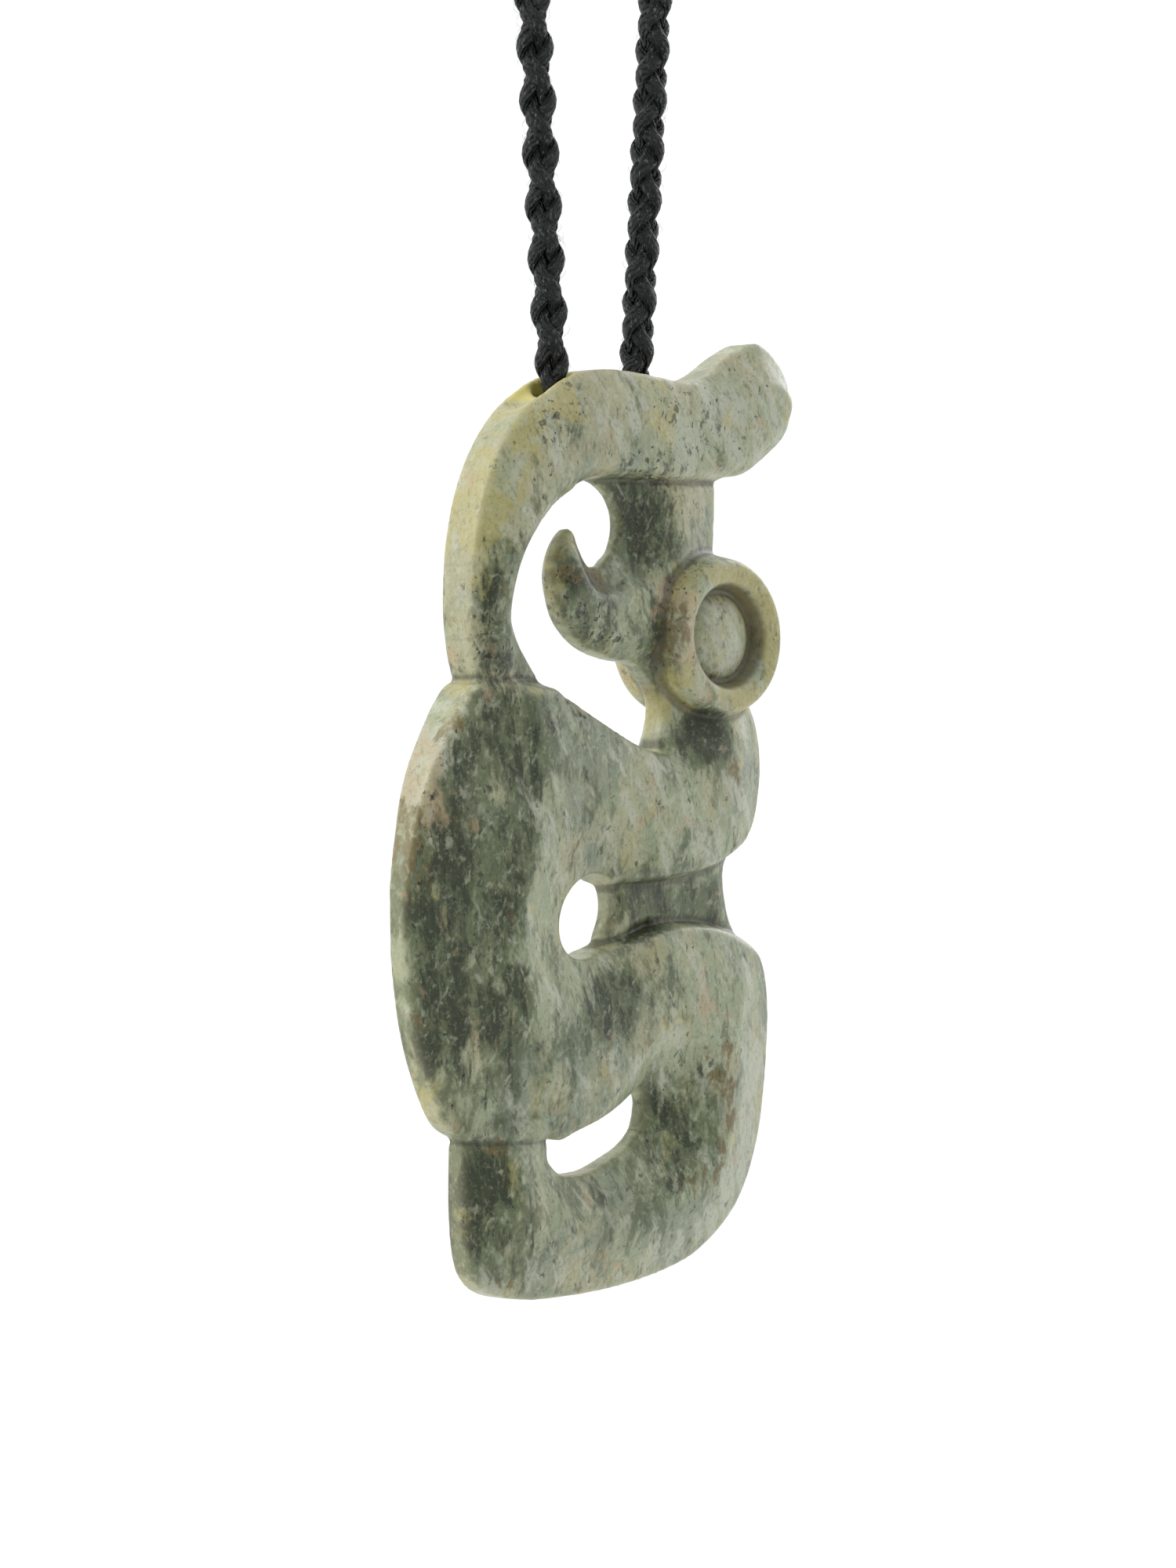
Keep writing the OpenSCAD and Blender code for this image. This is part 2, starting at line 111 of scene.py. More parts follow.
# Hip, tail and the tail's end that turns up under the body
TAIL = [
    [-9, 14, -9, 24, 2.3, 2.1, 1.9, 1.4, 1.6],
    [-6.4, 11, -6.4, 24.2, 2.45, 2.15, 1.9, 1.4, 1.6],
    [-4.2, 11.35, -2.9, 23.2, 2.6, 2.15, 2.2, 1.4, 1.4],
    [-1, 12.2, 1.2, 23.9, 2.7, 2, 2.35, 1.4, 1.6],
    [2, 13.4, 6.3, 25, 2.85, 1.6, 2.5, 2, 1.8],
    [3.6, 13.9, 12.2, 24.6, 2.9, 1.1, 2.3, 3.2, 2.6],
    [4.3, 13.8, 16.4, 23, 2.9, 0.7, 1.7, 5.2, 5],
    [4.7, 13.2, 18.2, 19.6, 2.9, 0.6, 1.2, 6.2, 6],
    [4.75, 12.3, 18.4, 14.8, 2.9, 0.6, 0.9, 6.4, 6],
    [4.3, 10.9, 17.3, 9.2, 2.8, 0.6, 0.9, 6, 5.6],
    [3, 9.8, 14.8, 4.8, 2.8, 0.7, 0.9, 5.4, 5],
    [1, 9, 9.8, 1.7, 2.7, 0.8, 1, 4.6, 4.4],
    [-0.8, 8.45, 3.4, 0.4, 2.6, 0.8, 1, 3.9, 4],
    [-2.6, 8.25, -2.6, 0, 2.5, 0.9, 1, 3.4, 3.8],
    [-4.6, 8.4, -8.5, 0.2, 2.4, 1.1, 0.9, 3, 3.8],
    [-6, 9, -12.8, 1.5, 2.3, 1.5, 0.8, 3, 4.8],
    [-6.7, 9.9, -14.3, 5, 2.3, 1.5, 0.7, 3.2, 4.4],
    [-6.8, 12.4, -14.4, 12, 2, 1.5, 0.7, 3.2, 4.4],
]

# Beak that hooks up in front of the head
BEAK = [
    [8.5, 50.8, 8, 43.5, 1.8, 0.5, 0.8, 3, 1.6],
    [4.5, 50.6, 4, 43.5, 1.9, 0.5, 0.8, 3, 1.6],
    [1.2, 50.2, 0.8, 43.8, 1.9, 0.5, 0.8, 2.6, 1.6],
    [-0.9, 50, -1.9, 44.6, 1.9, 0.5, 0.7, 2.2, 1.6],
    [-1.5, 50.3, -3.9, 46.2, 1.9, 0.5, 0.6, 2, 1.6],
    [-1.95, 50.9, -4.8, 48.4, 1.7, 0.5, 0.5, 1.5, 1.4],
    [-2.3, 51.5, -4.7, 50.4, 1.3, 0.5, 0.45, 1.1, 1],
    [-2.6, 52.1, -4.1, 51.7, 0.9, 0.45, 0.45, 0.7, 0.6],
    [-3, 52.5, -3.4, 52.45, 0.6, 0.4, 0.4, 0.3, 0.3],
]

# Sunk plates behind the eye and between arm and hip, from their left edge to their right edge
HEAD_PLATE = [
    [5.6, 35, 16.6, 35, 1.1, 0.9, 0.9, 2, 1.6],
    [6.2, 38.2, 16.6, 38.2, 1.1, 0.85, 0.9, 2, 1.6],
    [6.7, 40.2, 16, 40.2, 1.15, 0.8, 0.9, 2, 1.6],
    [6.2, 41.5, 15.6, 41.6, 1.3, 0.8, 0.9, 3, 1.6],
    [4.2, 43.2, 15.2, 43.2, 1.5, 0.8, 0.9, 3, 1.6],
    [2.8, 44.2, 14.8, 44.2, 1.6, 0.7, 0.9, 3, 1.6],
    [0.3, 47, 13.8, 47, 1.5, 0.7, 0.9, 1.2, 1.6],
    [0.4, 50, 12.7, 50, 1.6, 0.5, 0.6, 3, 4.4],
    [1.5, 51.2, 12.7, 51.2, 1.65, 0.45, 0.5, 5, 5],
    [2.1, 52.8, 12.8, 52.8, 1.7, 0.45, 0.45, 5.6, 5.2],
    [1.8, 54.2, 12.9, 54.2, 1.7, 0.45, 0.45, 5.8, 5.2],
    [0.6, 55.4, 12.9, 55.4, 1.7, 0.45, 0.45, 6.2, 5.2],
    [-1.9, 56.3, 12.9, 56.3, 1.6, 0.6, 0.5, 6.2, 5.2],
    [-3, 57.4, 12.9, 57.4, 1.6, 0.8, 0.5, 6.2, 5.2],
]
BRIDGE_PLATE = [
    [-6, z, x, z, 1.15, 0.8, 0.75, 1, 1.2]
    for x, z in [(15, 31.4), (13.6, 29), (13.7, 27), (14.3, 25.2), (15.2, 24), (16.2, 22)]
]

# Ridge of the body, where its broad facet turns down towards the gap: x, z and half thickness
BODY_RIDGE = [
    [-10.2, 42.6, 2.35], [-9.9, 41.2, 2.6], [-8.7, 38.4, 2.8], [-7.8, 35.6, 2.9], [-8.6, 32.7, 2.95],
    [-9.8, 29.8, 3], [-10.5, 26.5, 3], [-10.4, 22.8, 3], [-9.4, 18.8, 2.95], [-8, 16.6, 2.85],
    [-5.8, 14.8, 2.6], [-3.4, 13.6, 2.3],
]
# How the body falls away behind its ridge, straight and curved, and its slope where it runs out
RIDGE_FALL = 0.08
RIDGE_CURVE = 0.025
RUN_OUT = 0.7
# Pale band behind the ridge, partly the stone's paler tone and partly painted reflection on the facet that
# turns away: width, half width of its sharp edge, the heights between which it shows and its fade at both
BAND_WIDE, BAND_EDGE = 2.2, 0.25
BAND_FROM, BAND_TO, BAND_FADE = 15, 38, 3

# Cut lines where one form steps over another: points, depth and half width
CREASES = [
    ([[-16.5, 42.1], [-13.5, 41.9], [-11.5, 42], [-9, 42.1], [-7.6, 41.9]], 0.22, 0.24),
    ([[-15.6, 11.6], [-13.9, 11.3], [-10.6, 11], [-6.6, 10.95]], 0.25, 0.24),
    ([[-1.4, 23.5], [0.7, 23.95], [2.7, 24.5], [4.9, 25.1], [7.9, 25.4], [10.8, 25.2], [16.4, 23.3]],
     0.25, 0.3),
    ([[-1.6, 23.5], [0.7, 24], [2.7, 24.6], [4.6, 25.2]], 0.3, 0.42),
    ([[-3.8, 55.6], [-1.6, 56.1], [1, 56.3], [5, 56.3], [9, 56.5], [13.4, 56.9]], 0.35, 0.4),
    ([[-3, 51.4], [-2, 49.6], [-0.6, 48.7], [1.4, 48.6]], 0.25, 0.5),
]

# The eye, a little wider than high: distance from its centre and half thickness there
EYE_AT = (11.4, 45.5)
EYE_R = 5.7
EYE_WIDE = 1.088
EYE_SECTION = [
    [0, 2.75], [0.8, 2.72], [1.6, 2.6], [2.3, 2.38], [2.8, 2.1], [3.1, 1.85], [3.3, 1.75], [3.45, 2.2],
    [3.6, 2.85], [3.8, 3.1], [4.2, 3.22], [4.7, 3.3], [5.1, 3.28], [5.4, 3], [5.63, 2.4], [5.7, 1.9],
]
# Radius and half width of the wall round the dome, darkened with painted shade
EYE_WALL = (3.5, 0.3)

# The oval gap between body and bridge, with the facet that falls into it
GAP_AT = (-2.2, 25.95)
GAP_HALF = (3.45, 2.68)
GAP_TILT = 32
# Rim and slope of that facet in the limbs and in the sunk bridge
GAP_IN_LIMBS = (1.55, 0.28)
GAP_IN_BRIDGE = (0.6, 0.6)

# The cord's tunnel: a level bore, two bends and two leaning mouths, HALF_GAP from the middle, that
# reach down into the bends by MOUTH_LAP
TUNNEL_Z = 59.9
TUNNEL_R = 1.6
MOUTH_R = 1.38
MOUTH_LAP = 0.4
HALF_GAP = 4.4
BEND_R = 2.4
STRAND_LEAN = math.radians(4.7)
# Oval scoops that the cord leaves through: centre x, height over the level bore, tilt, half sizes
MOUTHS = [
    (-6.7, 2.1, 29, (3.2, 1.45, 0.9)),
    (4.9, 3.5, 0, (1.7, 1.25, 1.2)),
]

# Loop of the cord: arcs at the nape, either side of the clasp, and how far it goes into the sockets
NAPE_R = 20
ARC_X = 6
ARC_Z = (BEND_R + NAPE_R * math.sin(STRAND_LEAN)
         + (ARC_X + NAPE_R * math.cos(STRAND_LEAN) - HALF_GAP) / math.tan(STRAND_LEAN))
SOCKET_IN = 3.2

# Four strands are braided: length of one full turn, how far each is from the middle and how much
# that swings as it goes over and under, a strand's half sizes, how much they vary and over what length.
# The braid's right half is turned back by BRAID_APART from the left one, over a stretch in the tunnel.
BRAID_PITCH = 7.15
STRAND_OUT = 0.61
STRAND_WAVE = 0.31
STRAND_HALF_W = 0.62
STRAND_HALF_T = 0.38
SWELL, SWELL_STEP = 0.05, 1.3
BRAID_TURN = math.radians(50)
BRAID_APART, BRAID_APART_OVER = math.radians(45), 12
# The tunnel squeezes the cord front to back: by how much, up to how far from its middle, and the fade
SQUEEZE = 0.18
SQUEEZE_END = 8.6
SQUEEZE_FADE = 1.8
# Rings of points for each full turn, points of a ring and their angles
RINGS = 24
SIDES = 20
ROUND = 2 * math.pi * np.arange(SIDES) / SIDES
# Loose fibres: number, how far they stay from the cord's ends, lengths, radius, and how far from the
# cord's middle they start, rise, bend over and lean sideways
FUZZ_COUNT = 2600
FUZZ_ENDS = 4
FUZZ_LENGTH = (0.3, 0.9)
FUZZ_R = 0.016
FUZZ_FROM, FUZZ_RISE, FUZZ_BEND, FUZZ_SIDEWAYS = 0.9, 0.55, 2.6, 0.5

# Camera (its lens in millimetres), the point that the lamps look at, and the floor
CAMERA_AT = (-0.2151, -0.18, -0.30835)
VIEW_ALONG = (0.766, 0.643, 0)
LENS, SENSOR = 93.09, 36
NEAR_CLIP = 0.01
LOOK_AT = (0, 0, -0.308)
FLOOR_Z = -0.62
FLOOR_R = 0.9
# The surroundings dim towards one side: that side, between which cosines, their light elsewhere and
# there, and how bright the camera sees them
DIM_SIDE = (-0.35, -0.93, -0.1)
DIM_FROM, DIM_TO = 0.2, 0.85
SIDE_LIGHT, FRONT_LIGHT = 0.95, 0.28
BACKDROP = 1.05
# Soft lamps: place, diameter and power
LAMPS = [
    ("left_lamp", (-0.9, 0.35, 0.35), 0.6, 3),
    ("right_lamp", (0.9, 0.1, 0.1), 0.6, 1.6),
]

# Stains of the stone, with some painted light and shade among them, marked where they stand: centre x
# and z, half width across and along, strength and, where it leans, its tilt in degrees
DARK = [
    (-14, 24, 4.5, 10, 0.5), (-17, 36, 1.2, 2.5, 1, -8), (-16, 31, 1.5, 2.7, 0.9),
    (-17.5, 26.5, 2, 2.5, 1.1), (-17, 20.5, 2, 2.7, 1.1, 6), (-18.5, 17.5, 1, 2, 0.7),
    (-11, 37.5, 3.5, 3, 1), (-14.3, 39, 1.3, 2.4, 0.6), (-11, 30, 1.2, 3.2, 0.8, -6),
    (-12, 25.5, 1.2, 2.4, 0.7, -12), (-8, 18, 1.8, 2, 0.9, 30), (-11, 21.5, 1, 1.3, 0.8),
    (-12, 15, 3, 1, 0.5), (-12.5, 18.5, 1.4, 1.6, 0.9), (-20, 27, 1, 1.2, 1), (-20, 22, 1.2, 3, 0.5),
    (-8.5, 40, 1.5, 1.2, 0.5), (-4.5, 35.5, 0.8, 0.6, 0.5), (-4.5, 32, 1.8, 1, 0.4),
    # (9.6, 38.4): the saddle under the eye, dark stone with painted shade of the hollow
    (3, 32.5, 0.5, 0.6, 0.7), (7.5, 31, 1.8, 1, 0.5), (9.6, 38.4, 2, 1.3, 3.4), (5, 40.5, 1.2, 0.5, 0.6),
    (4, 53.4, 1.8, 1.9, 2.6), (0.5, 53.5, 0.8, 1.6, 0.8), (3, 51.5, 1.2, 1, 0.6), (-2, 46.5, 2, 1.2, 0.6),
    # (-1.9, 49.8): painted shade in the groove between beak and head
    (-3.5, 49, 1, 0.7, 1.2), (-4.5, 50.5, 0.4, 1, 0.9, 20), (-1.9, 49.8, 0.6, 1.4, 1.8, 37),
    # (4.5, 46) and (2.5, 41.5): painted shadow along the eye's left side and under its lower left
    (-4, 49.3, 0.4, 0.4, 1.5), (4.5, 46, 0.6, 2.7, 1.4), (2.5, 41.5, 1.5, 0.5, 0.7, -40),
    (-4.5, 44.5, 1.5, 0.4, 0.5, -35), (3.5, 27.2, 2.5, 1.6, 1.2), (9, 27.5, 4, 1.4, 1),
    # (3, 24.5): painted shadow over the hip's top edge; (13, 25): painted shade that dims the hip's upper
    # edge
    (3, 24.5, 2.2, 0.3, 1.4, 20), (13, 25, 2.5, 0.4, 0.8, -15), (-0.5, 21.5, 1.2, 0.6, 0.9),
    (5, 21.5, 1.3, 1, 0.5, 30), (0.5, 20.5, 2.2, 1.3, 0.7, 15), (-2, 18.5, 2.2, 1.4, 1.2),
    (5, 12, 2.4, 2, 0.9), (2.5, 11, 0.5, 1.5, 0.7), (7, 9, 1.8, 1.5, 0.8), (9.5, 12.5, 1.4, 3, 0.5),
    (2.5, 5.5, 0.7, 0.8, 0.7), (-0.5, 6.5, 3, 1, 0.4), (-4.5, 7, 2, 1.4, 0.6), (-13, 9.5, 2.2, 1.2, 1.1),
    (-14, 7.5, 2, 2, 2.1), (-11, 5, 1.2, 0.6, 0.8), (-14, 3, 0.5, 1.5, 0.6), (-9.5, 2.6, 3, 1.2, 0.7),
    (-5.7, 59.3, 1, 1.2, 0.7), (-11.5, 51, 1.3, 0.6, 0.8), (-12.9, 47.4, 0.7, 1.3, 1.4),
    (-11.5, 43, 2, 0.7, 0.9), (8, 61.5, 0.8, 0.6, 0.6), (5, 61.5, 0.5, 1, 0.5), (6.5, 58, 1.2, 0.6, 0.6),
    (12.5, 59.5, 1, 0.6, 0.5), (10.9, 58.5, 0.6, 1.3, 1.2), (9, 53.5, 1.6, 2.4, 0.35),
]
PALE = [
    (-16.5, 38.5, 1, 2.4, 1.5, -28), (-18.5, 35.5, 0.8, 2, 1, -20), (-7.5, 28.5, 1.3, 5, 0.6),
    (-8, 20, 1.2, 3, 0.7, 15), (6.3, 39, 0.7, 1, 1.8), (14, 39, 1.2, 3.2, 0.8), (3, 33, 5, 2.5, 0.4),
    (11, 31.5, 4, 1.6, 0.8, 25), (1.5, 35, 3, 1.3, 0.4), (9, 55, 2, 2.7, 0.4), (8, 60.5, 8, 3.5, 0.9),
    # (-7.4, 61.2): painted light in the cord's left scoop
    (17, 62, 3, 3, 0.6), (-7.4, 61.2, 1.8, 0.6, 1.5, 30), (0.2, 26.5, 0.35, 1.8, 1, -15),
    (15, 16, 1.5, 6.5, 1), (14, 8.5, 2, 3.8, 1, -21), (3.5, 16, 4, 1, 0.9, 17), (9, 21.5, 3, 1.6, 0.7),
    (-2.5, 14, 4, 1, 0.5), (8, 2.7, 5, 1, 1, 20), (-7.5, 1.5, 5, 0.8, 0.4), (-12, 13.5, 5, 0.8, 0.4),
    (-8, 8, 0.5, 3.2, 0.9), (1, 60, 4, 1.3, 0.4), (-7.5, 56.5, 2, 1.6, 0.4), (8, 64.5, 2.5, 0.5, 0.9, 22),
    (11.4, 45.5, 2, 2.3, 0.7), (-5, 2.5, 4, 1, 0.3), (-10, 10, 0.7, 1.6, 0.6), (-14, 54, 1, 3, 0.5, -28),
]
YELLOW = [
    # (-7.4, 61.2) and (-5.6, 61): the stone's yellow with painted light in the cord's left scoop
    (-12, 55, 1.8, 4, 1, -26), (-14, 50.5, 1, 3.4, 0.9, -10), (-7.4, 61.2, 1.8, 0.6, 2.2, 30),
    (-3, 62.3, 2.5, 0.8, 0.7), (3, 63, 2, 0.6, 0.5), (5, 60.5, 9, 3, 0.5), (-5.6, 61, 0.9, 0.9, 1.8),
    (-8, 59, 1.4, 1.6, 0.6), (-5.5, 51.8, 0.8, 0.9, 1.2), (11.4, 45.5, 2, 2, 0.4), (15.5, 48, 1, 2, 1.4),
    (13, 50, 1.8, 0.6, 1.2), (9.5, 49.8, 1.8, 0.6, 1), (7, 48, 0.8, 1.6, 1), (6.6, 43.6, 0.9, 1.8, 1.2),
    (9, 41.2, 2, 0.8, 1.4), (13.5, 41.4, 2, 0.9, 1.5), (15.8, 44, 0.8, 1.6, 1.1),
    (-3.3, 51.7, 0.8, 1, 1.2), (-4.7, 48.5, 0.4, 2, 1), (6.2, 40.8, 0.6, 1.6, 0.8),
    (10, 49.5, 2, 0.7, 0.6, -20), (17, 47, 0.8, 3.2, 0.7), (13.5, 40.5, 1.5, 0.6, 0.9),
    (12.5, 36, 1.2, 2, 0.9), (0.2, 26.5, 0.35, 1.8, 1.2, -15), (4.5, 19, 3, 1.8, 0.7),
    (-12, 41.3, 3.4, 0.4, 0.8), (-17.5, 15, 0.8, 1.4, 0.9), (-14.3, 4.5, 0.6, 2.2, 0.5),
    (-10.5, 7, 0.8, 2.2, 0.6), (-8, 1, 3.4, 0.4, 0.7), (-14, 2, 1.2, 0.5, 0.6), (-19, 18, 0.7, 2.7, 0.5),
    (0, 33, 1, 1, 0.4), (8, 11, 1.3, 2.2, 0.3),
]
BROWN = [
    (-19.7, 31.5, 1, 2.6, 1.7), (-16, 39, 0.5, 1.2, 0.8, -34), (6, 46.5, 1, 1.8, 0.9),
    # (15.1, 45.5): painted shade on the eye's sunk right wall
    (5.5, 44.5, 0.7, 1.6, 1), (15.1, 45.5, 0.6, 2.5, 0.6), (11.5, 42.5, 1.7, 0.4, 0.6),
    (11.5, 49.2, 2.5, 0.5, 0.4), (10.9, 47.2, 0.6, 0.5, 1.1), (-4, 49.3, 0.4, 0.4, 3),
    (-1.6, 50, 0.5, 1.4, 1.6, 37), (-0.8, 49.3, 1.1, 0.5, 1.3, -20), (-2.7, 51.9, 0.6, 0.7, 1.5),
    (-4.3, 47.5, 0.5, 0.5, 0.9), (1, 42.7, 0.4, 0.8, 0.6, 45), (-4.5, 40, 1.7, 0.4, 0.6, -24),
    (12.5, 36.5, 0.7, 1.2, 0.9), (-1.2, 27, 0.3, 1.4, 0.5), (11, 15.5, 1.2, 2, 1.1),
    (11.4, 10.7, 1.2, 1.8, 1.1), (8.5, 7.3, 2, 0.9, 0.9), (-0.7, 8, 1.3, 0.6, 0.5),
    (-9.5, 1.6, 1.3, 0.3, 0.8), (-12, 10.6, 2.5, 0.3, 0.8), (-19, 19, 0.5, 1, 0.6),
    (-13, 18, 1.8, 0.8, 0.4), (-13, 36, 2, 1.3, 0.3), (-0.8, 58.3, 0.7, 0.3, 0.6),
    (0.7, 57, 0.8, 0.3, 0.6), (5, 29.7, 2.5, 0.5, 0.2),
]
PEACH = [
    (10, 57.5, 1.7, 0.6, 1), (14.7, 63, 1, 0.6, 0.8), (-0.7, 56.3, 2.5, 0.4, 0.8),
    (3.2, 34.7, 1, 0.8, 0.9), (4, 33, 1, 0.6, 0.8), (9.8, 19.5, 1.6, 1.8, 1),
    (-16.5, 40, 0.8, 1.6, 0.8, -28), (-18.6, 35, 0.9, 2.7, 2, -16), (-13.8, 44.5, 0.5, 2.5, 0.8),
    (-7, 19.5, 0.8, 1.6, 0.4), (-3.5, 40.3, 2, 0.5, 0.7, -24), (-2.5, 8.4, 2, 0.5, 0.6),
    (6.2, 48, 1, 1.6, 1.7), (6.8, 45, 0.9, 1.6, 1.6), (15.6, 42.6, 0.8, 0.8, 1), (14, 61, 1.3, 1.6, 0.5),
    (-19.8, 22.5, 0.8, 3, 0.5),
]
SPECK = [
    (-5.7, 59.6, 1.2, 1.8, 1.2), (-8, 58.5, 0.8, 2.2, 0.6), (5.3, 61.5, 1.3, 1.4, 1),
    (5.3, 57.2, 2, 1, 0.9), (10, 60.7, 2.5, 2.2, 0.8), (1, 57, 1.3, 0.5, 1), (-9, 54, 1.7, 1.3, 0.5),
    (-12, 50, 2, 2.2, 0.3), (-13.7, 45.5, 1.2, 2, 1.3), (-11.4, 43, 2.5, 1, 0.8),
    (-4.5, 47.5, 2.9, 2.7, 1.3), (0, 45, 2.5, 1, 0.9), (3.6, 53.7, 2.2, 3.2, 1), (9, 53.4, 2, 2.2, 0.6),
    (7, 48.5, 1.7, 1, 0.7), (16.3, 45.6, 0.4, 0.4, 1.4), (6.2, 44.5, 1.7, 2.2, 0.5),
    (-4.5, 40.3, 2.2, 0.6, 1.2, -24), (-18.9, 34, 0.5, 0.4, 0.8), (-19, 33, 0.6, 0.4, 0.6),
    (-17, 25, 2.5, 8.6, 0.4), (-15, 32, 5, 6.5, 0.3), (3.6, 33.6, 0.3, 0.3, 1.4), (7, 20.3, 1, 1, 0.6),
    (4.4, 11, 2.5, 3.2, 0.6), (-13.5, 8, 2.5, 3, 0.6), (15, 64.4, 1.3, 1.6, 0.5),
]
STAINS_AND_PAINTED_LIGHT = dict(dark=DARK, pale=PALE, yellow=YELLOW, brown=BROWN, peach=PEACH, speck=SPECK)

# The stone's colours, each laid over the ones before: screen colour, cells of its cloudy noise per
# millimetre along x, y and z, turn about y, the noise's detail, roughness and warp, the step it comes in
# over with the share it reaches, and the stains, painted light and shade, and surface marks that gather or
# thin it
BASE_COLOUR = (174, 185, 151)
LAYERS = [
    ((144, 155, 136), (0.15, 0.15, 0.11), 0, (4, 0.55, 0.3), (0.47, 0.6, 0.75), dict(pale=-0.04)),
    ((202, 196, 156), (0.2, 0.2, 0.15), 0, (4, 0.6, 0.4), (0.5, 0.66, 0.65),
     dict(yellow=0.12, pale=0.04, wall=0.02)),
    ((96, 110, 75), (0.42, 0.42, 0.26), 0, (5, 0.62, 0.5), (0.5, 0.65, 0.8),
     dict(dark=0.15, pale=-0.09, wall=-0.08, pale_band_sheen=-0.07)),
    ((44, 54, 36), (0.7, 0.6, 0.26), 8, (6, 0.7, 0.4), (0.56, 0.7, 0.9),
     dict(dark=0.1, pale=-0.08, wall=-0.15, pale_band_sheen=-0.1)),
    ((208, 213, 194), (0.75, 0.5, 0.24), 35, (5, 0.6, 0.4), (0.55, 0.68, 0.7),
     dict(pale=0.13, dark=-0.05, pale_band_sheen=0.04)),
    ((200, 190, 122), (0.34, 0.34, 0.26), 0, (5, 0.6, 0.5), (0.62, 0.76, 0.75), dict(yellow=0.18)),
    ((204, 176, 138), (0.5, 0.5, 0.4), 0, (4, 0.6, 0.4), (0.6, 0.72, 0.55), dict(peach=0.14)),
    ((122, 102, 52), (0.7, 0.7, 0.55), 0, (5, 0.64, 0.3), (0.62, 0.76, 0.85), dict(brown=0.19)),
    ((80, 92, 63), (1.6, 1.3, 0.6), 10, (4, 0.62, 0.4), (0.52, 0.65, 0.5),
     dict(dark=0.03, pale=-0.04, yellow=-0.03, wall=-0.04)),
    ((214, 220, 192), (1.5, 1.5, 0.9), -20, (4, 0.62, 0.4), (0.53, 0.68, 0.45),
     dict(dark=-0.01, pale=0.03)),
    ((54, 62, 42), (1.1, 1.1, 0.9), 0, (4, 0.66, 0.3), (0.63, 0.71, 0.75),
     dict(speck=0.07, dark=0.03, wall=-0.05)),
    ((30, 34, 28), (2.4, 2.4, 1.8), 0, (2, 0.5, 0.2), (0.72, 0.78, 0.9),
     dict(speck=0.1, brown=0.02, wall=-0.06)),
]
# Each layer's noise is moved on by this
LAYER_SHIFT = (3.7, 1.9, 5.3)

# Tints by the form of the surface, laid over the layers, most of them painted light and shade: surface
# mark, step with the share it reaches, and screen colour
FORM_TINTS = [
    ("rim", (0.3, 1, 0.18), (208, 200, 164)),
    # Painted highlight: convex edges turn paler, as if catching the light
    ("ridge", (0.2, 1.4, 0.1), (214, 216, 200)),
    # Painted shade: concave bends and creases turn dark, with some dirt that gathers in them
    ("crease", (0.2, 1.6, 0.6), (54, 50, 34)),
    # Painted shade: the eye's sunk wall round its dome turns dark brown, as if in shadow
    ("recess_shade", (0.1, 1, 0.7), (80, 72, 48)),
    # Painted light: a pale yellow glow inside the cord's mouths, as if light shone through the thin stone
    ("mouth", (0, 0.8, 0.85), (240, 228, 140)),
]
# Fade of the rim's mark inwards, depth of the wall's mark, how near the bore the mouths' painted glow
# stays, and how far above the level bore it starts
RIM_FADE = 0.7
WALL_DEPTH = 0.5
MOUTH_NEAR = 0.3
MOUTH_UP = 0.8

# Pitch of the flat maps and of the net, the area that the maps cover, how far the net reaches to the
# front and back, and the steps that bring its points onto the surface
MAP_PITCH = 0.125
VOXEL = 0.25
MAP_LOW, MAP_HIGH = (-22, -2), (22.5, 69)
NET_REACH = 3.8
NET_STEPS = 4
# Radius of the outer edges, blur of the faces, least half thickness, how steeply a form falls past its
# edge, and the outline distance outside its window
EDGE_ROUND = 0.28
FACE_BLUR = 0.15
THIN = 0.3
WALL_SLOPE = 6
FAR = 30.0
# Blurs of values read along a limb and along the ridge, and of a face's bend, which stops at MOST_BEND
COLUMN_BLUR = 0.5
RIDGE_BLUR = 0.6
BEND_BLUR = 0.22
MOST_BEND = 3
# Waves of a surface ground by hand: blur and share of each, and their depth on outline and face
HAND_WAVES = [(2, 1), (0.96, 0.45), (0.48, 0.2)]
HAND_OUTLINE, HAND_FACE = 0.05, 0.03
# The share of its width that a limb's inner bevel takes at most, and over what length the body's run
# out fades towards its ends
INNER_SHARE = 0.45
BODY_FADE = 3
# The limbs round the body: table, how far its bevels are rounded and it is blended into another, and
# rim and bevel of ends that show
LIMBS = {
    "arm": (ARM, 0.5, 0.9, []),
    "tail": (TAIL, 0.2, 0.9, []),
    "bridge": (BRIDGE_PLATE, 0.1, 0.2, []),
    "arch": (ARCH, 0.25, 0.06, [(0, 1.5, 0.8)]),
    "beak": (BEAK, 0.3, 0.5, [(-1, 0.6, 0.6)]),
    "head": (HEAD_PLATE, 0.3, 0.8, []),
}
# Other blends: the eye, the outlines, the ends of limbs, the gap's facets and the parts of the tunnel
EYE_BLEND = 0.35
OUTLINE_BLEND = 0.25
CAP_BLEND = 0.1
GAP_BLEND, BRIDGE_GAP_BLEND = 0.15, 0.3
MOUTH_BLEND, SCOOP_BLEND, BORE_BLEND = 0.3, 0.4, 0.25
# Rim and bevel of the body's two ends, and how far both climb
BODY_CAPS = [(0, 2.15, 1.3), (-1, 2.2, 1.2)]
CAP_RISE = 0.8


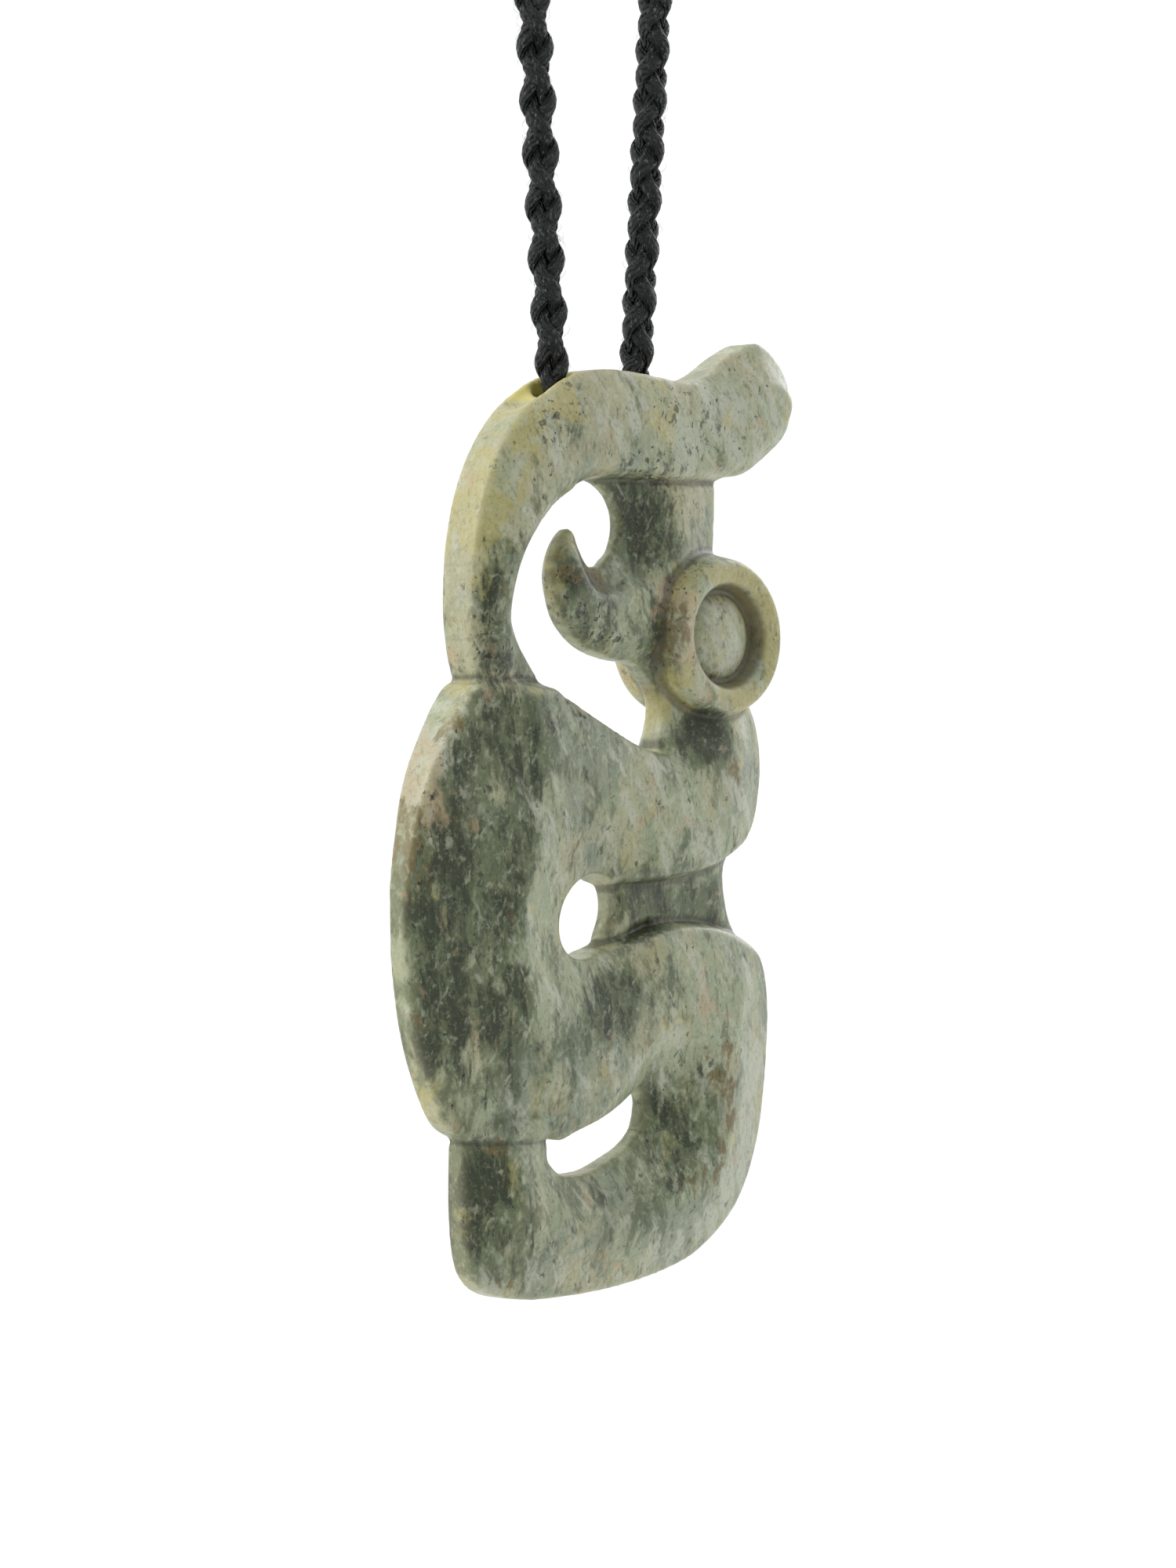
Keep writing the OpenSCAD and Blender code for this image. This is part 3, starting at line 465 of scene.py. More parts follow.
def smooth_line(rows, steps=6):
    """Catmull-Rom curve through the rows, with steps points for each row."""
    rows = np.array(rows, float)
    ends = np.vstack([rows[:1], rows, rows[-1:]])
    made = []
    for a, b, c, d in zip(ends[:-3], ends[1:-2], ends[2:-1], ends[3:]):
        for t in np.arange(steps) / steps:
            made.append(0.5 * (2 * b + (c - a) * t + (2 * a - 5 * b + 4 * c - d) * t * t
                               + (3 * b - a - 3 * c + d) * t ** 3))
    return np.array(made + [rows[-1]])


def nearest_on(px, pz, line):
    """Distance from each point to a line of points, and how far along the line its nearest point is."""
    best = np.full(px.shape, 1e9)
    along = np.zeros(px.shape)
    for k in range(len(line) - 1):
        (ax, az), (bx, bz) = line[k], line[k + 1]
        dx, dz = bx - ax, bz - az
        t = np.clip(((px - ax) * dx + (pz - az) * dz) / max(dx * dx + dz * dz, 1e-12), 0, 1)
        d = np.hypot(px - ax - t * dx, pz - az - t * dz)
        closer = d < best
        best[closer] = d[closer]
        along[closer] = k + t[closer]
    return best, along


def inside(px, pz, loop):
    """True where a point lies in the closed loop of points."""
    found = np.zeros(px.shape, bool)
    for (ax, az), (bx, bz) in zip(loop, np.roll(loop, -1, axis=0)):
        if az == bz:
            continue
        crosses = (az > pz) != (bz > pz)
        found ^= crosses & (px < (bx - ax) * (pz - az) / (bz - az) + ax)
    return found


def ramp(value, start, width):
    """0 up to start, then a straight climb to 1 over width."""
    return np.clip((value - start) / width, 0, 1)


def turned(dx, dz, degrees):
    """Parts of an offset along two axes that are turned by an angle."""
    a = math.radians(degrees)
    return dx * math.cos(a) + dz * math.sin(a), dz * math.cos(a) - dx * math.sin(a)


def soft_min(a, b, k):
    """The smaller of two maps, rounded over k where they meet."""
    h = np.clip(0.5 + 0.5 * (b - a) / k, 0, 1)
    return b + (a - b) * h - k * h * (1 - h)


def soft_max(a, b, k):
    """The larger of two maps, rounded over k where they meet."""
    return -soft_min(-a, -b, k)


class Plane:
    """The stone's face plane as a grid of points."""

    def __init__(self, low, high, pitch):
        self.low, self.pitch = np.array(low, float), pitch
        counts = [math.ceil((b - a) / pitch) + 1 for a, b in zip(low, high)]
        self.x, self.z = np.meshgrid(*(a + pitch * np.arange(n) for a, n in zip(low, counts)))

    def window(self, points, margin):
        """The part of the grid that holds the points and a margin round them."""
        i0, k0 = np.maximum((points.min(0) - margin - self.low) / self.pitch, 0).astype(int)
        i1, k1 = ((points.max(0) + margin - self.low) / self.pitch).astype(int) + 2
        return np.s_[k0:k1, i0:i1]

    def blur(self, field, sigma):
        """Gaussian blur with sigma in millimetres. The edges of the grid are repeated outwards."""
        pad = int(3 * sigma / self.pitch) + 1
        wide = np.pad(field, pad, mode="edge")
        fz = np.fft.fftfreq(wide.shape[0], self.pitch)[:, None]
        fx = np.fft.rfftfreq(wide.shape[1], self.pitch)[None, :]
        gauss = np.exp(-2 * (math.pi * sigma) ** 2 * (fx ** 2 + fz ** 2))
        return np.fft.irfft2(np.fft.rfft2(wide) * gauss, wide.shape)[pad:-pad, pad:-pad]

    def at(self, field, x, z):
        """Catmull-Rom interpolation of a map at loose points."""
        u, v = (x - self.low[0]) / self.pitch, (z - self.low[1]) / self.pitch
        i, k = np.floor(u).astype(int), np.floor(v).astype(int)
        wu, wv = self.weights(u - i), self.weights(v - k)
        total = np.zeros(x.shape)
        for b in range(4):
            rows = np.clip(k + b - 1, 0, len(field) - 1)
            for a in range(4):
                total += wu[a] * wv[b] * field[rows, np.clip(i + a - 1, 0, len(field[0]) - 1)]
        return total

    @staticmethod
    def weights(t):
        """Catmull-Rom shares of four neighbours in a row."""
        return (-0.5 * t + t * t - 0.5 * t ** 3, 1 - 2.5 * t * t + 1.5 * t ** 3,
                0.5 * t + 2 * t * t - 1.5 * t ** 3, -0.5 * t * t + 0.5 * t ** 3)


def limb_edges(table):
    """Smoothed rows of a limb table, and the limb's two edges."""
    rows = smooth_line(table)
    return rows, rows[:, [INNER_X, INNER_Z]], rows[:, [OUTER_X, OUTER_Z]]


def end_distance(x, z, inner, outer, end):
    """Distance to the line across a limb's first or last end."""
    return nearest_on(x, z, np.array([inner[end], outer[end]]))[0]


def limb_maps(plane, table, soft=0.1, caps=()):
    """Outline distance and half thickness of one limb, its bevels rounded over soft.
    caps gives rim and bevel of a first or last end that shows."""
    rows, inner, outer = limb_edges(table)
    loop = np.vstack([inner, outer[::-1]])
    w = plane.window(loop, 4)
    x, z = plane.x[w], plane.z[w]
    d_in, along_in = nearest_on(x, z, inner)
    d_out, along_out = nearest_on(x, z, outer)
    _, along_mid = nearest_on(x, z, (inner + outer) / 2)

    def column(name, along):
        return plane.blur(np.interp(along, np.arange(len(rows)), rows[:, name]), COLUMN_BLUR)

    t = column(HALF_T, along_mid)
    rim_in, rim_out = column(INNER_RIM, along_in), column(OUTER_RIM, along_out)
    span = d_in + d_out
    bevel_in = np.minimum(column(INNER_BEVEL, along_in), INNER_SHARE * span + 0.01)
    bevel_out = np.minimum(column(OUTER_BEVEL, along_out), np.maximum(span - bevel_in, 0.01))
    rise_in = rim_in + (t - rim_in) * d_in / bevel_in
    rise_out = rim_out + (t - rim_out) * d_out / bevel_out
    height = soft_min(soft_min(rise_in, rise_out, soft), t, soft)
    ends = {end: end_distance(x, z, inner, outer, end) for end in (0, -1)}
    for end, rim, bevel in caps:
        height = soft_min(height, rim + (t - rim) * ends[end] / bevel, CAP_BLEND)
    edge = np.minimum.reduce([d_in, d_out, ends[0], ends[-1]])
    within = inside(x, z, loop)
    rim = np.where(d_in < d_out, rim_in, rim_out)
    outline = np.full(plane.x.shape, FAR)
    half_t = np.full(plane.x.shape, -FAR)
    outline[w] = np.where(within, -edge, edge)
    half_t[w] = np.where(within, height, rim - WALL_SLOPE * edge)
    return outline, half_t


def past_ridge(x, z):
    """How far right of the body's ridge a point lies."""
    ridge = smooth_line(BODY_RIDGE)
    return x - np.interp(z, ridge[::-1, 1], ridge[::-1, 0])


def body_maps(plane):
    """The body: a broad facet from its thin left rim up to the ridge, and one that falls away behind."""
    outline, _ = limb_maps(plane, BODY)
    rows, inner, outer = limb_edges(BODY)
    ridge = smooth_line(BODY_RIDGE)
    w = plane.window(np.vstack([inner, outer]), 3)
    x, z = plane.x[w], plane.z[w]
    d_in, _ = nearest_on(x, z, inner)
    d_out, along_out = nearest_on(x, z, outer)
    d_ridge, along_ridge = nearest_on(x, z, ridge[:, :2])
    top = plane.blur(np.interp(along_ridge, np.arange(len(ridge)), ridge[:, 2]), RIDGE_BLUR)
    rim = plane.blur(np.interp(along_out, np.arange(len(rows)), rows[:, OUTER_RIM]), RIDGE_BLUR)
    facet = rim + (top - rim) * d_out / np.maximum(d_out + d_ridge, 0.01)
    fallen = top - RIDGE_FALL * d_ridge - RIDGE_CURVE * d_ridge ** 2
    height = np.where(past_ridge(x, z) > 0, fallen, facet)
    for end, cap_rim, bevel in BODY_CAPS:
        climb = CAP_RISE * end_distance(x, z, inner, outer, end) / bevel
        height = soft_min(height, cap_rim + climb, CAP_BLEND)
    # The body runs out gently into arm and tail, but steps down to the stem and to the tail's end
    middle = ramp(z, inner[-1, 1], BODY_FADE) * ramp(-z, -inner[0, 1], BODY_FADE)
    slope = WALL_SLOPE + (RUN_OUT - WALL_SLOPE) * middle * (d_in < d_out)
    base = np.where(d_in < d_out, height, np.minimum(height, rim))
    half_t = np.full(plane.x.shape, -FAR)
    half_t[w] = np.where(outline[w] < 0, height, base - slope * np.maximum(outline[w], 0))
    return outline, half_t


def eye_radius(x, z):
    """Distance from the centre of the eye, which is a little wider than high."""
    return np.hypot((x - EYE_AT[0]) / EYE_WIDE, z - EYE_AT[1])


def eye_maps(plane):
    """The eye, its section turned round its centre."""
    r = eye_radius(plane.x, plane.z)
    section = smooth_line(EYE_SECTION, steps=8)
    half_t = np.interp(r, section[:, 0], section[:, 1])
    half_t = np.where(r > EYE_R, EYE_SECTION[-1][1] - WALL_SLOPE * (r - EYE_R), half_t)
    return r - EYE_R, half_t


def oval_distance(parts, half):
    """Distance outside an oval, below zero inside it, from the parts of an offset along its axes."""
    scaled = [v / h for v, h in zip(parts, half)]
    k = np.sqrt(sum(v * v for v in scaled))
    slope = np.sqrt(sum((v / h) ** 2 for v, h in zip(scaled, half)))
    return (k - 1) * k / np.maximum(slope, 1e-6)


def stone_maps(plane):
    """Outline distance and half thickness of the whole carving."""
    body_o, body_t = body_maps(plane)
    eye_o, eye_t = eye_maps(plane)
    made = {name: limb_maps(plane, table, soft, caps) for name, (table, soft, _, caps) in LIMBS.items()}

    def join(base, name):
        return soft_max(base, made[name][1], LIMBS[name][2])

    gap = oval_distance(turned(plane.x - GAP_AT[0], plane.z - GAP_AT[1], GAP_TILT), GAP_HALF)
    bridge_o, bridge_t = made["bridge"]
    facet = GAP_IN_BRIDGE[0] + GAP_IN_BRIDGE[1] * gap
    made["bridge"] = bridge_o, soft_min(bridge_t, facet, BRIDGE_GAP_BLEND)
    torso = join(join(body_t, "arm"), "tail")
    torso = join(soft_min(torso, GAP_IN_LIMBS[0] + GAP_IN_LIMBS[1] * gap, GAP_BLEND), "bridge")
    head_o, head_t = made["head"]
    made["head"] = head_o, soft_max(join(head_t, "beak"), eye_t, EYE_BLEND)
    half_t = join(join(torso, "head"), "arch")
    outline = np.minimum.reduce([body_o, made["arm"][0], made["tail"][0], bridge_o])
    outline = np.maximum(outline, -gap)
    for other in (head_o, made["beak"][0], eye_o, made["arch"][0]):
        outline = soft_min(outline, other, OUTLINE_BLEND)
    for points, depth, width in CREASES:
        line = smooth_line(points, steps=4)
        w = plane.window(line, 4 * width)
        d, _ = nearest_on(plane.x[w], plane.z[w], line)
        half_t[w] -= depth * np.exp(-(d / width) ** 2)
    solid = (outline < 0.05).astype(float)
    weight = plane.blur(solid, FACE_BLUR)
    smooth = plane.blur(np.maximum(half_t, THIN) * solid, FACE_BLUR) / np.maximum(weight, 1e-4)
    return outline, np.where(weight > 1e-3, smooth, THIN)


def hand_finish(plane, seed):
    """Slow waves of a hand-ground surface, about 1 wide either way."""
    rng = np.random.default_rng(seed)
    wave = np.zeros(plane.x.shape)
    for sigma, share in HAND_WAVES:
        noise = plane.blur(rng.standard_normal(plane.x.shape), sigma)
        wave += share * noise / noise.std()
    return wave / 2


def tunnel_distance(x, y, z):
    """Distance from the wall of the cord's tunnel, below zero inside it. z is up from the level bore."""
    ax = np.abs(x)
    bend_x = HALF_GAP - BEND_R
    level = np.hypot(np.hypot(np.maximum(ax - bend_x, 0), z), y) - TUNNEL_R
    reach = np.hypot(ax - bend_x, z - BEND_R)
    in_bend = (ax > bend_x) & (z < BEND_R)
    bend_bore = TUNNEL_R + (MOUTH_R - TUNNEL_R) * ramp(z, 0, BEND_R)
    bend = np.where(in_bend, np.hypot(reach - BEND_R, y) - bend_bore, FAR)
    up = z - BEND_R
    lean_x = ax - HALF_GAP - up * math.tan(STRAND_LEAN)
    mouth = np.where(up > -MOUTH_LAP, np.hypot(lean_x * math.cos(STRAND_LEAN), y) - MOUTH_R, FAR)
    hole = soft_min(np.minimum(level, bend), mouth, MOUTH_BLEND)
    for at_x, at_z, tilt, half in MOUTHS:
        along, over = turned(x - at_x, z - at_z, tilt)
        hole = soft_min(hole, oval_distance((along, y, over), half), SCOOP_BLEND)
    return hole


class Stone:
    """The carving as a field that is below zero inside the stone. Points are in stone millimetres."""

    def __init__(self, plane, outline, half_t):
        gz, gx = np.gradient(half_t, plane.pitch)
        self.plane = plane
        self.maps = (outline, half_t, np.sqrt(1 + gx ** 2 + gz ** 2))

    @staticmethod
    def field(x, y, z, outline, half_t, steepness):
        """The field where the maps have these values."""
        a, b = outline + EDGE_ROUND, (np.abs(y) - half_t) / steepness + EDGE_ROUND
        away = np.hypot(np.maximum(a, 0), np.maximum(b, 0))
        rounded = away + np.minimum(np.maximum(a, b), 0) - EDGE_ROUND
        return soft_max(rounded, -tunnel_distance(x, y, z - TUNNEL_Z), BORE_BLEND)

    def at(self, x, y, z):
        """The field at loose points."""
        return self.field(x, y, z, *(self.plane.at(m, x, z) for m in self.maps))

    def grid(self, step, depth):
        """The field on a grid of the maps' own points, each step of them, and depth layers either way."""
        s = np.s_[::step, ::step]
        x, z = self.plane.x[s], self.plane.z[s]
        y = VOXEL * (np.arange(2 * depth) - depth + 0.5)
        return x, y, z, self.field(x, y[:, None, None], z, *(m[s] for m in self.maps))


def surface_net(values):
    """Vertices (in grid steps) and four-sided faces of the zero surface of a 3D grid of values."""
    within = values < 0
    size = np.array(values.shape) - 1
    ways = np.eye(3, dtype=int)
    corners = list(np.ndindex(2, 2, 2))
    cells = sum(within[tuple(map(slice, p, p + size))].astype(np.int8) for p in corners)
    active = (cells > 0) & (cells < 8)
    where = np.argwhere(active)
    index = np.full(cells.shape, -1, np.int64)
    index[active] = np.arange(len(where))
    total = np.zeros((len(where), 3))
    count = np.zeros(len(where))
    for p in corners:
        for way in ways[np.array(p) == 0]:
            fp, fq = (values[tuple((where + v).T)] for v in (p, p + way))
            cut = (fp < 0) != (fq < 0)
            total[cut] += p + way * (fp[cut] / (fp[cut] - fq[cut]))[:, None]
            count[cut] += 1
    faces = []
    for axis in range(3):
        way, u, v = np.roll(ways, -axis, axis=0)
        start = 1 - way
        starts = within[tuple(map(slice, start, size))]
        ends = within[tuple(map(slice, start + way, size + way))]
        for crossing, order in ((starts & ~ends, 1), (~starts & ends, -1)):
            at = np.argwhere(crossing) + start
            ring = [index[tuple((at + aside).T)] for aside in (-u - v, -v, 0 * u, -u)]
            faces.append(np.stack(ring[::order], 1))
    return where + total / count[:, None], np.vstack(faces)


def in_frame(points, up=0.0):
    """Points in stone millimetres, raised by up, as metres of the frame."""
    return (points + np.array([0, 0, FOOT_Z + up])) * MM


def mesh_object(name, points, faces, marks):
    """A smooth mesh object from points in metres, faces of equal length, and numbers for each point."""
    mesh = bpy.data.meshes.new(name)
    mesh.from_pydata(points, [], faces, shade_flat=False)
    mesh.validate()
    for key, values in marks.items():
        attribute = mesh.attributes.new(key, "FLOAT", "POINT")
        attribute.data.foreach_set("value", np.asarray(values, np.float32))
    made = bpy.data.objects.new(name, mesh)
    bpy.context.scene.collection.objects.link(made)
    return made


def onto_surface(stone, x, y, z):
    """One Newton step of loose points towards the stone's surface, no longer than half a voxel."""
    e = 0.04
    f = stone.at(x, y, z)
    slope = np.stack([stone.at(x + a, y + b, z + c) - stone.at(x - a, y - b, z - c)
                      for a, b, c in e * np.eye(3)]) / (2 * e)
    step = -f * slope / np.maximum((slope ** 2).sum(0), 0.2)
    length = np.sqrt((step ** 2).sum(0))
    step *= np.minimum(1, 0.5 * VOXEL / np.maximum(length, 1e-9))
    return x + step[0], y + step[1], z + step[2]


def surface_marks(stone, x, y, z):
    """Strength of each mark of the stone's form at points of its surface; some are for painted light and
    shade.
    """
    plane = stone.plane
    outline, half_t, _ = stone.maps
    bend = sum(np.gradient(np.gradient(half_t, MAP_PITCH, axis=n), MAP_PITCH, axis=n) for n in (0, 1))
    bend = plane.at(plane.blur(np.clip(bend, -MOST_BEND, MOST_BEND), BEND_BLUR), x, z)
    inwards = np.maximum(-plane.at(outline, x, z), 0)
    bored = np.clip(1 - np.abs(tunnel_distance(x, y, z - TUNNEL_Z)) / MOUTH_NEAR, 0, 1)
    past = past_ridge(x, z)
    pale_band_sheen = ramp(past, -BAND_EDGE, 2 * BAND_EDGE) * np.exp(-(np.maximum(past, 0) / BAND_WIDE) ** 2)
    return {
        # convex bends, for a painted highlight
        "ridge": np.clip(-bend, 0, 2),
        # concave bends, for painted shade and dirt
        "crease": np.clip(bend, 0, 2),
        "rim": np.exp(-inwards / RIM_FADE),
        "wall": ramp(plane.at(half_t, x, z) - np.abs(y), 0, WALL_DEPTH),
        # the inside of the mouths, for a painted glow
        "mouth": bored * ramp(z - TUNNEL_Z, MOUTH_UP, MOUTH_UP),
        # pale stripe behind the ridge, partly painted reflection
        "pale_band_sheen": pale_band_sheen * ramp(z, BAND_FROM, BAND_FADE) * ramp(-z, -BAND_TO, BAND_FADE),
        # the eye's sunk wall, for painted shade
        "recess_shade": np.exp(-((eye_radius(x, z) - EYE_WALL[0]) / EYE_WALL[1]) ** 2),
    }


def stain_and_painted_light_weight(x, z, rows):
    """Strength of one table of stains and painted light and shade at points of the stone."""
    weight = np.zeros(x.shape)
    for at_x, at_z, half_x, half_z, strength, *tilt in rows:
        u, v = turned(x - at_x, z - at_z, sum(tilt))
        weight += strength * np.exp(-0.5 * ((u / half_x) ** 2 + (v / half_z) ** 2))
    return weight


def build_stone():
    """The carved stone, with its marks, stains and painted light and shade as attributes."""
    plane = Plane(MAP_LOW, MAP_HIGH, MAP_PITCH)
    outline, half_t = stone_maps(plane)
    outline = outline + HAND_OUTLINE * hand_finish(plane, seed=3)
    half_t = half_t + HAND_FACE * hand_finish(plane, seed=5)
    stone = Stone(plane, outline, half_t)
    x, y, z, values = stone.grid(int(round(VOXEL / MAP_PITCH)), int(NET_REACH / VOXEL))
    points, faces = surface_net(values)
    x = x[0, 0] + VOXEL * points[:, 2]
    y = y[0] + VOXEL * points[:, 0]
    z = z[0, 0] + VOXEL * points[:, 1]
    for _ in range(NET_STEPS):
        x, y, z = onto_surface(stone, x, y, z)
    marks = surface_marks(stone, x, y, z)
    marks.update((kind, stain_and_painted_light_weight(x, z, rows)) for kind, rows in STAINS_AND_PAINTED_LIGHT.items())
    return mesh_object("stone_carving", in_frame(np.stack([x, y, z], 1)), faces, marks)


class Shader:
    """The node tree of a material or world in the making. A socket takes a value or another node's output,
    and tint() lays one colour after the other over the first."""

    def __init__(self, block, surface="Principled BSDF", shade=(255, 255, 255)):
        block.use_nodes = True
        self.block = block
        self.tree = block.node_tree
        self.surface = self.tree.nodes[surface]
        self.colour = srgb(*shade)

    def put(self, socket, value):
        if isinstance(value, bpy.types.NodeSocket):
            self.tree.links.new(value, socket)
        else:
            socket.default_value = value

    def node(self, kind, inputs, **settings):
        made = self.tree.nodes.new("ShaderNode" + kind)
        for key, value in settings.items():
            setattr(made, key, value)
        for key, value in inputs.items():
            self.put(made.inputs[key], value)
        return made.outputs

    def scaled(self, value, gain, base=0):
        return self.node("Math", {0: value, 1: gain, 2: base}, operation="MULTIPLY_ADD")[0]

    def attribute(self, name):
        return self.node("Attribute", {}, attribute_name=name)["Fac"]

    def noise(self, cells, detail=3, rough=0.55, warp=0, shift=(0, 0, 0), turn=0):
        """Cloudy noise in cells per millimetre along x, y and z, turned about y and shifted."""
        spot = {"Vector": self.node("TexCoord", {})["Object"], "Scale": (1 / MM,) * 3,
                "Rotation": (0, math.radians(turn), 0)}
        spot = {"Vector": self.node("Mapping", spot)[0], "Scale": cells, "Location": shift}
        return self.node("TexNoise", {"Vector": self.node("Mapping", spot)[0], "Scale": 1,
                                      "Detail": detail, "Roughness": rough, "Distortion": warp})["Fac"]

    def step(self, value, low, high, top=1, base=0):
        """A smooth step from base at low to top at high."""
        return self.node("MapRange", {"Value": value, "From Min": low, "From Max": high, "To Min": base,
                                      "To Max": top}, interpolation_type="SMOOTHSTEP")[0]

    def tint(self, value, step, shade):
        """Lays a shade over the colour by a step of some value."""
        mixed = {0: self.step(value, *step), 6: self.colour, 7: srgb(*shade)}
        self.colour = self.node("Mix", mixed, data_type="RGBA")[2]

    def finish(self, **sockets):
        """Sets the surface's inputs and gives back the material or world."""
        for key, value in sockets.items():
            self.put(self.surface.inputs[key.replace("_", " ")], value)
        return self.block

    def coat(self, rough, height, distance, strength=1, **sockets):
        """Finishes a material with its colour, roughness and bumps."""
        bump = self.node("Bump", {"Height": height, "Distance": distance * MM, "Strength": strength})[0]
        return self.finish(Base_Color=self.colour, Roughness=rough, Normal=bump, **sockets)


def srgb(red, green, blue):
    """A colour from its 0 to 255 screen values."""
    parts = [v / 255 for v in (red, green, blue)]
    return tuple(v / 12.92 if v < 0.04045 else ((v + 0.055) / 1.055) ** 2.4 for v in parts) + (1,)


def greenstone():
    """Polished stone: its layers of colour, a fine grain and the tints of its form, mostly painted light
    and shade.
    """
    s = Shader(bpy.data.materials.new("greenstone"), shade=BASE_COLOUR)
    for n, (shade, cells, turn, texture, step, gains) in enumerate(LAYERS):
        shift = tuple(n * v for v in LAYER_SHIFT)
        cloud = s.noise(cells, *texture, shift, turn)
        for kind, gain in gains.items():
            cloud = s.scaled(s.attribute(kind), gain, cloud)
        s.tint(cloud, step, shade)
    grain = s.noise((3.6, 3.6, 3), 4, 0.7, shift=(3, 8, 5))
    s.tint(grain, (0.48, 0.75, 0.46), (82, 92, 70))
    s.tint(grain, (0.5, 0.28, 0.26), (204, 210, 182))
    for mark, step, shade in FORM_TINTS:
        s.tint(s.attribute(mark), step, shade)
    slant = s.noise((0.5, 0.5, 0.35), 6, 0.65, 0.6)
    height = s.scaled(slant, 0.7, s.scaled(grain, 0.4))
    return s.coat(s.scaled(grain, 0.22, 0.28), height, 0.06, 0.5, IOR=1.55,
                  Subsurface_Weight=0.1, Subsurface_Radius=(1, 1.2, 0.8), Subsurface_Scale=1.2 * MM,
                  Coat_Weight=0.06, Coat_Roughness=0.25)


def waxed_cord():
    """Black waxed cord: wavy fibres, grey fluff and painted highlights where single threads catch the
    light.
    """
    s = Shader(bpy.data.materials.new("waxed_cord"), shade=(3, 6, 7))
    stray = s.noise((1.1, 1.1, 0.9), 3, 0.6)
    wave = s.scaled(s.attribute("around"), 9)
    fibre = s.node("Math", {0: s.scaled(stray, 16, wave)}, operation="SINE")[0]
    fluff = s.noise((5, 5, 4), 5, 0.72)
    glint_thread = s.noise((4.6, 4.6, 1.6), 4, 0.75, shift=(4, 1, 7))
    s.tint(fluff, (0.45, 0.75, 0.35), (44, 52, 54))
    s.tint(fibre, (0.4, 1, 0.2), (44, 52, 54))
    # Painted highlight: pale glints where single threads catch the light
    s.tint(glint_thread, (0.56, 0.65, 0.65), (134, 144, 148))
    height = s.scaled(fluff, 2, fibre)
    return s.coat(s.scaled(fluff, 0.45, 0.2), height, 0.07, IOR=1.5)


def brushed_steel():
    """Dark satin steel, brushed along X."""
    s = Shader(bpy.data.materials.new("brushed_steel"), shade=(152, 153, 155))
    brush = s.noise((0.4, 9, 9), 5, 0.6)
    wear = s.noise((0.6, 0.6, 0.6), 3, 0.6, shift=(2, 4, 6))
    s.tint(wear, (0.4, 0.7, 0.5), (132, 132, 130))
    return s.coat(s.scaled(brush, 0.2, 0.2), brush, 0.02, 0.6, Metallic=1)


def arc(x, z, radius, angles):
    return np.stack([x + radius * np.cos(angles), z + radius * np.sin(angles)], 1)


def cord_line(step):
    """The cord's middle line in millimetres, z up from the level bore: distance along it, points that
    are step apart, and the way it runs at each."""
    bend = arc(HALF_GAP - BEND_R, BEND_R, BEND_R, np.linspace(-math.pi / 2, 0, 13))
    nape = arc(ARC_X, ARC_Z, NAPE_R, np.linspace(-STRAND_LEAN, math.pi / 2, 25))
    half = np.vstack([[0, 0], bend, nape, [ARC_X - SOCKET_IN, ARC_Z + NAPE_R]])
    line = np.vstack([half[:0:-1] * [-1, 1], half])
    along = np.concatenate([[0], np.cumsum(np.hypot(*np.diff(line, axis=0).T))])
    even = np.arange(0, along[-1], step)
    x, z = np.interp(even, along, line[:, 0]), np.interp(even, along, line[:, 1])
    tx, tz = np.gradient(x), np.gradient(z)
    size = np.hypot(tx, tz)
    flat = np.zeros(len(even))
    return even, np.stack([x, flat, z], 1), np.stack([tx / size, flat, tz / size], 1)


def outwards(ahead, angle):
    """Directions away from the cord's line, at angles round it."""
    across = np.stack([ahead[:, 2], np.zeros(len(ahead)), -ahead[:, 0]], 1)
    return across * np.cos(angle)[:, None] + np.array([[0, 1, 0]]) * np.sin(angle)[:, None]


def tube_faces(tubes, rings, sides):
    """Four-sided faces of equal tubes, each made of rings of points."""
    k, n = np.divmod(np.arange((rings - 1) * sides), sides)
    after = (n + 1) % sides
    faces = np.stack([k * sides + v for v in (n, after, after + sides, n + sides)], 1)
    return (np.arange(tubes)[:, None, None] * rings * sides + faces).reshape(-1, 4)


def unit(rows):
    return rows / np.linalg.norm(rows, axis=1)[:, None]


def strand(spin, offset, seed):
    """One strand of the braid: rings of points, wound one way round the cord's line."""
    s, middle, ahead = cord_line(BRAID_PITCH / RINGS)
    length = s[-1]
    from_middle = s - length / 2
    turn = spin * 2 * math.pi * from_middle / BRAID_PITCH + offset
    out = STRAND_OUT + spin * STRAND_WAVE * np.cos(2 * turn)
    phase = BRAID_TURN - BRAID_APART * ramp(from_middle, -BRAID_APART_OVER / 2, BRAID_APART_OVER)
    radial = outwards(ahead, turn + phase)
    centre = middle + radial * out[:, None]
    forward = unit(np.gradient(centre, axis=0))
    side = unit(np.cross(forward, radial))
    lift = np.cross(side, forward)
    knots = np.arange(0, length + 2, SWELL_STEP)
    swell = 1 + SWELL * np.interp(s, knots, np.random.default_rng(seed).standard_normal(len(knots)))
    wide = STRAND_HALF_W * np.outer(swell, np.sin(ROUND))[..., None] * side[:, None]
    rings = centre[:, None] + wide - STRAND_HALF_T * np.cos(ROUND)[:, None] * lift[:, None]
    held = ramp(-np.abs(from_middle), -SQUEEZE_END, SQUEEZE_FADE)
    rings[..., 1] *= 1 - SQUEEZE * held[:, None]
    return rings


def braid_piece(name, spin, seeds):
    """The two strands that wind one way round, opposite each other."""
    rings = [strand(spin, n * math.pi, seed) for n, seed in enumerate(seeds)]
    points = np.concatenate(rings).reshape(-1, 3)
    faces = tube_faces(len(rings), len(rings[0]), SIDES)
    return mesh_object(name, in_frame(points, TUNNEL_Z), faces, {"around": np.resize(ROUND, len(points))})


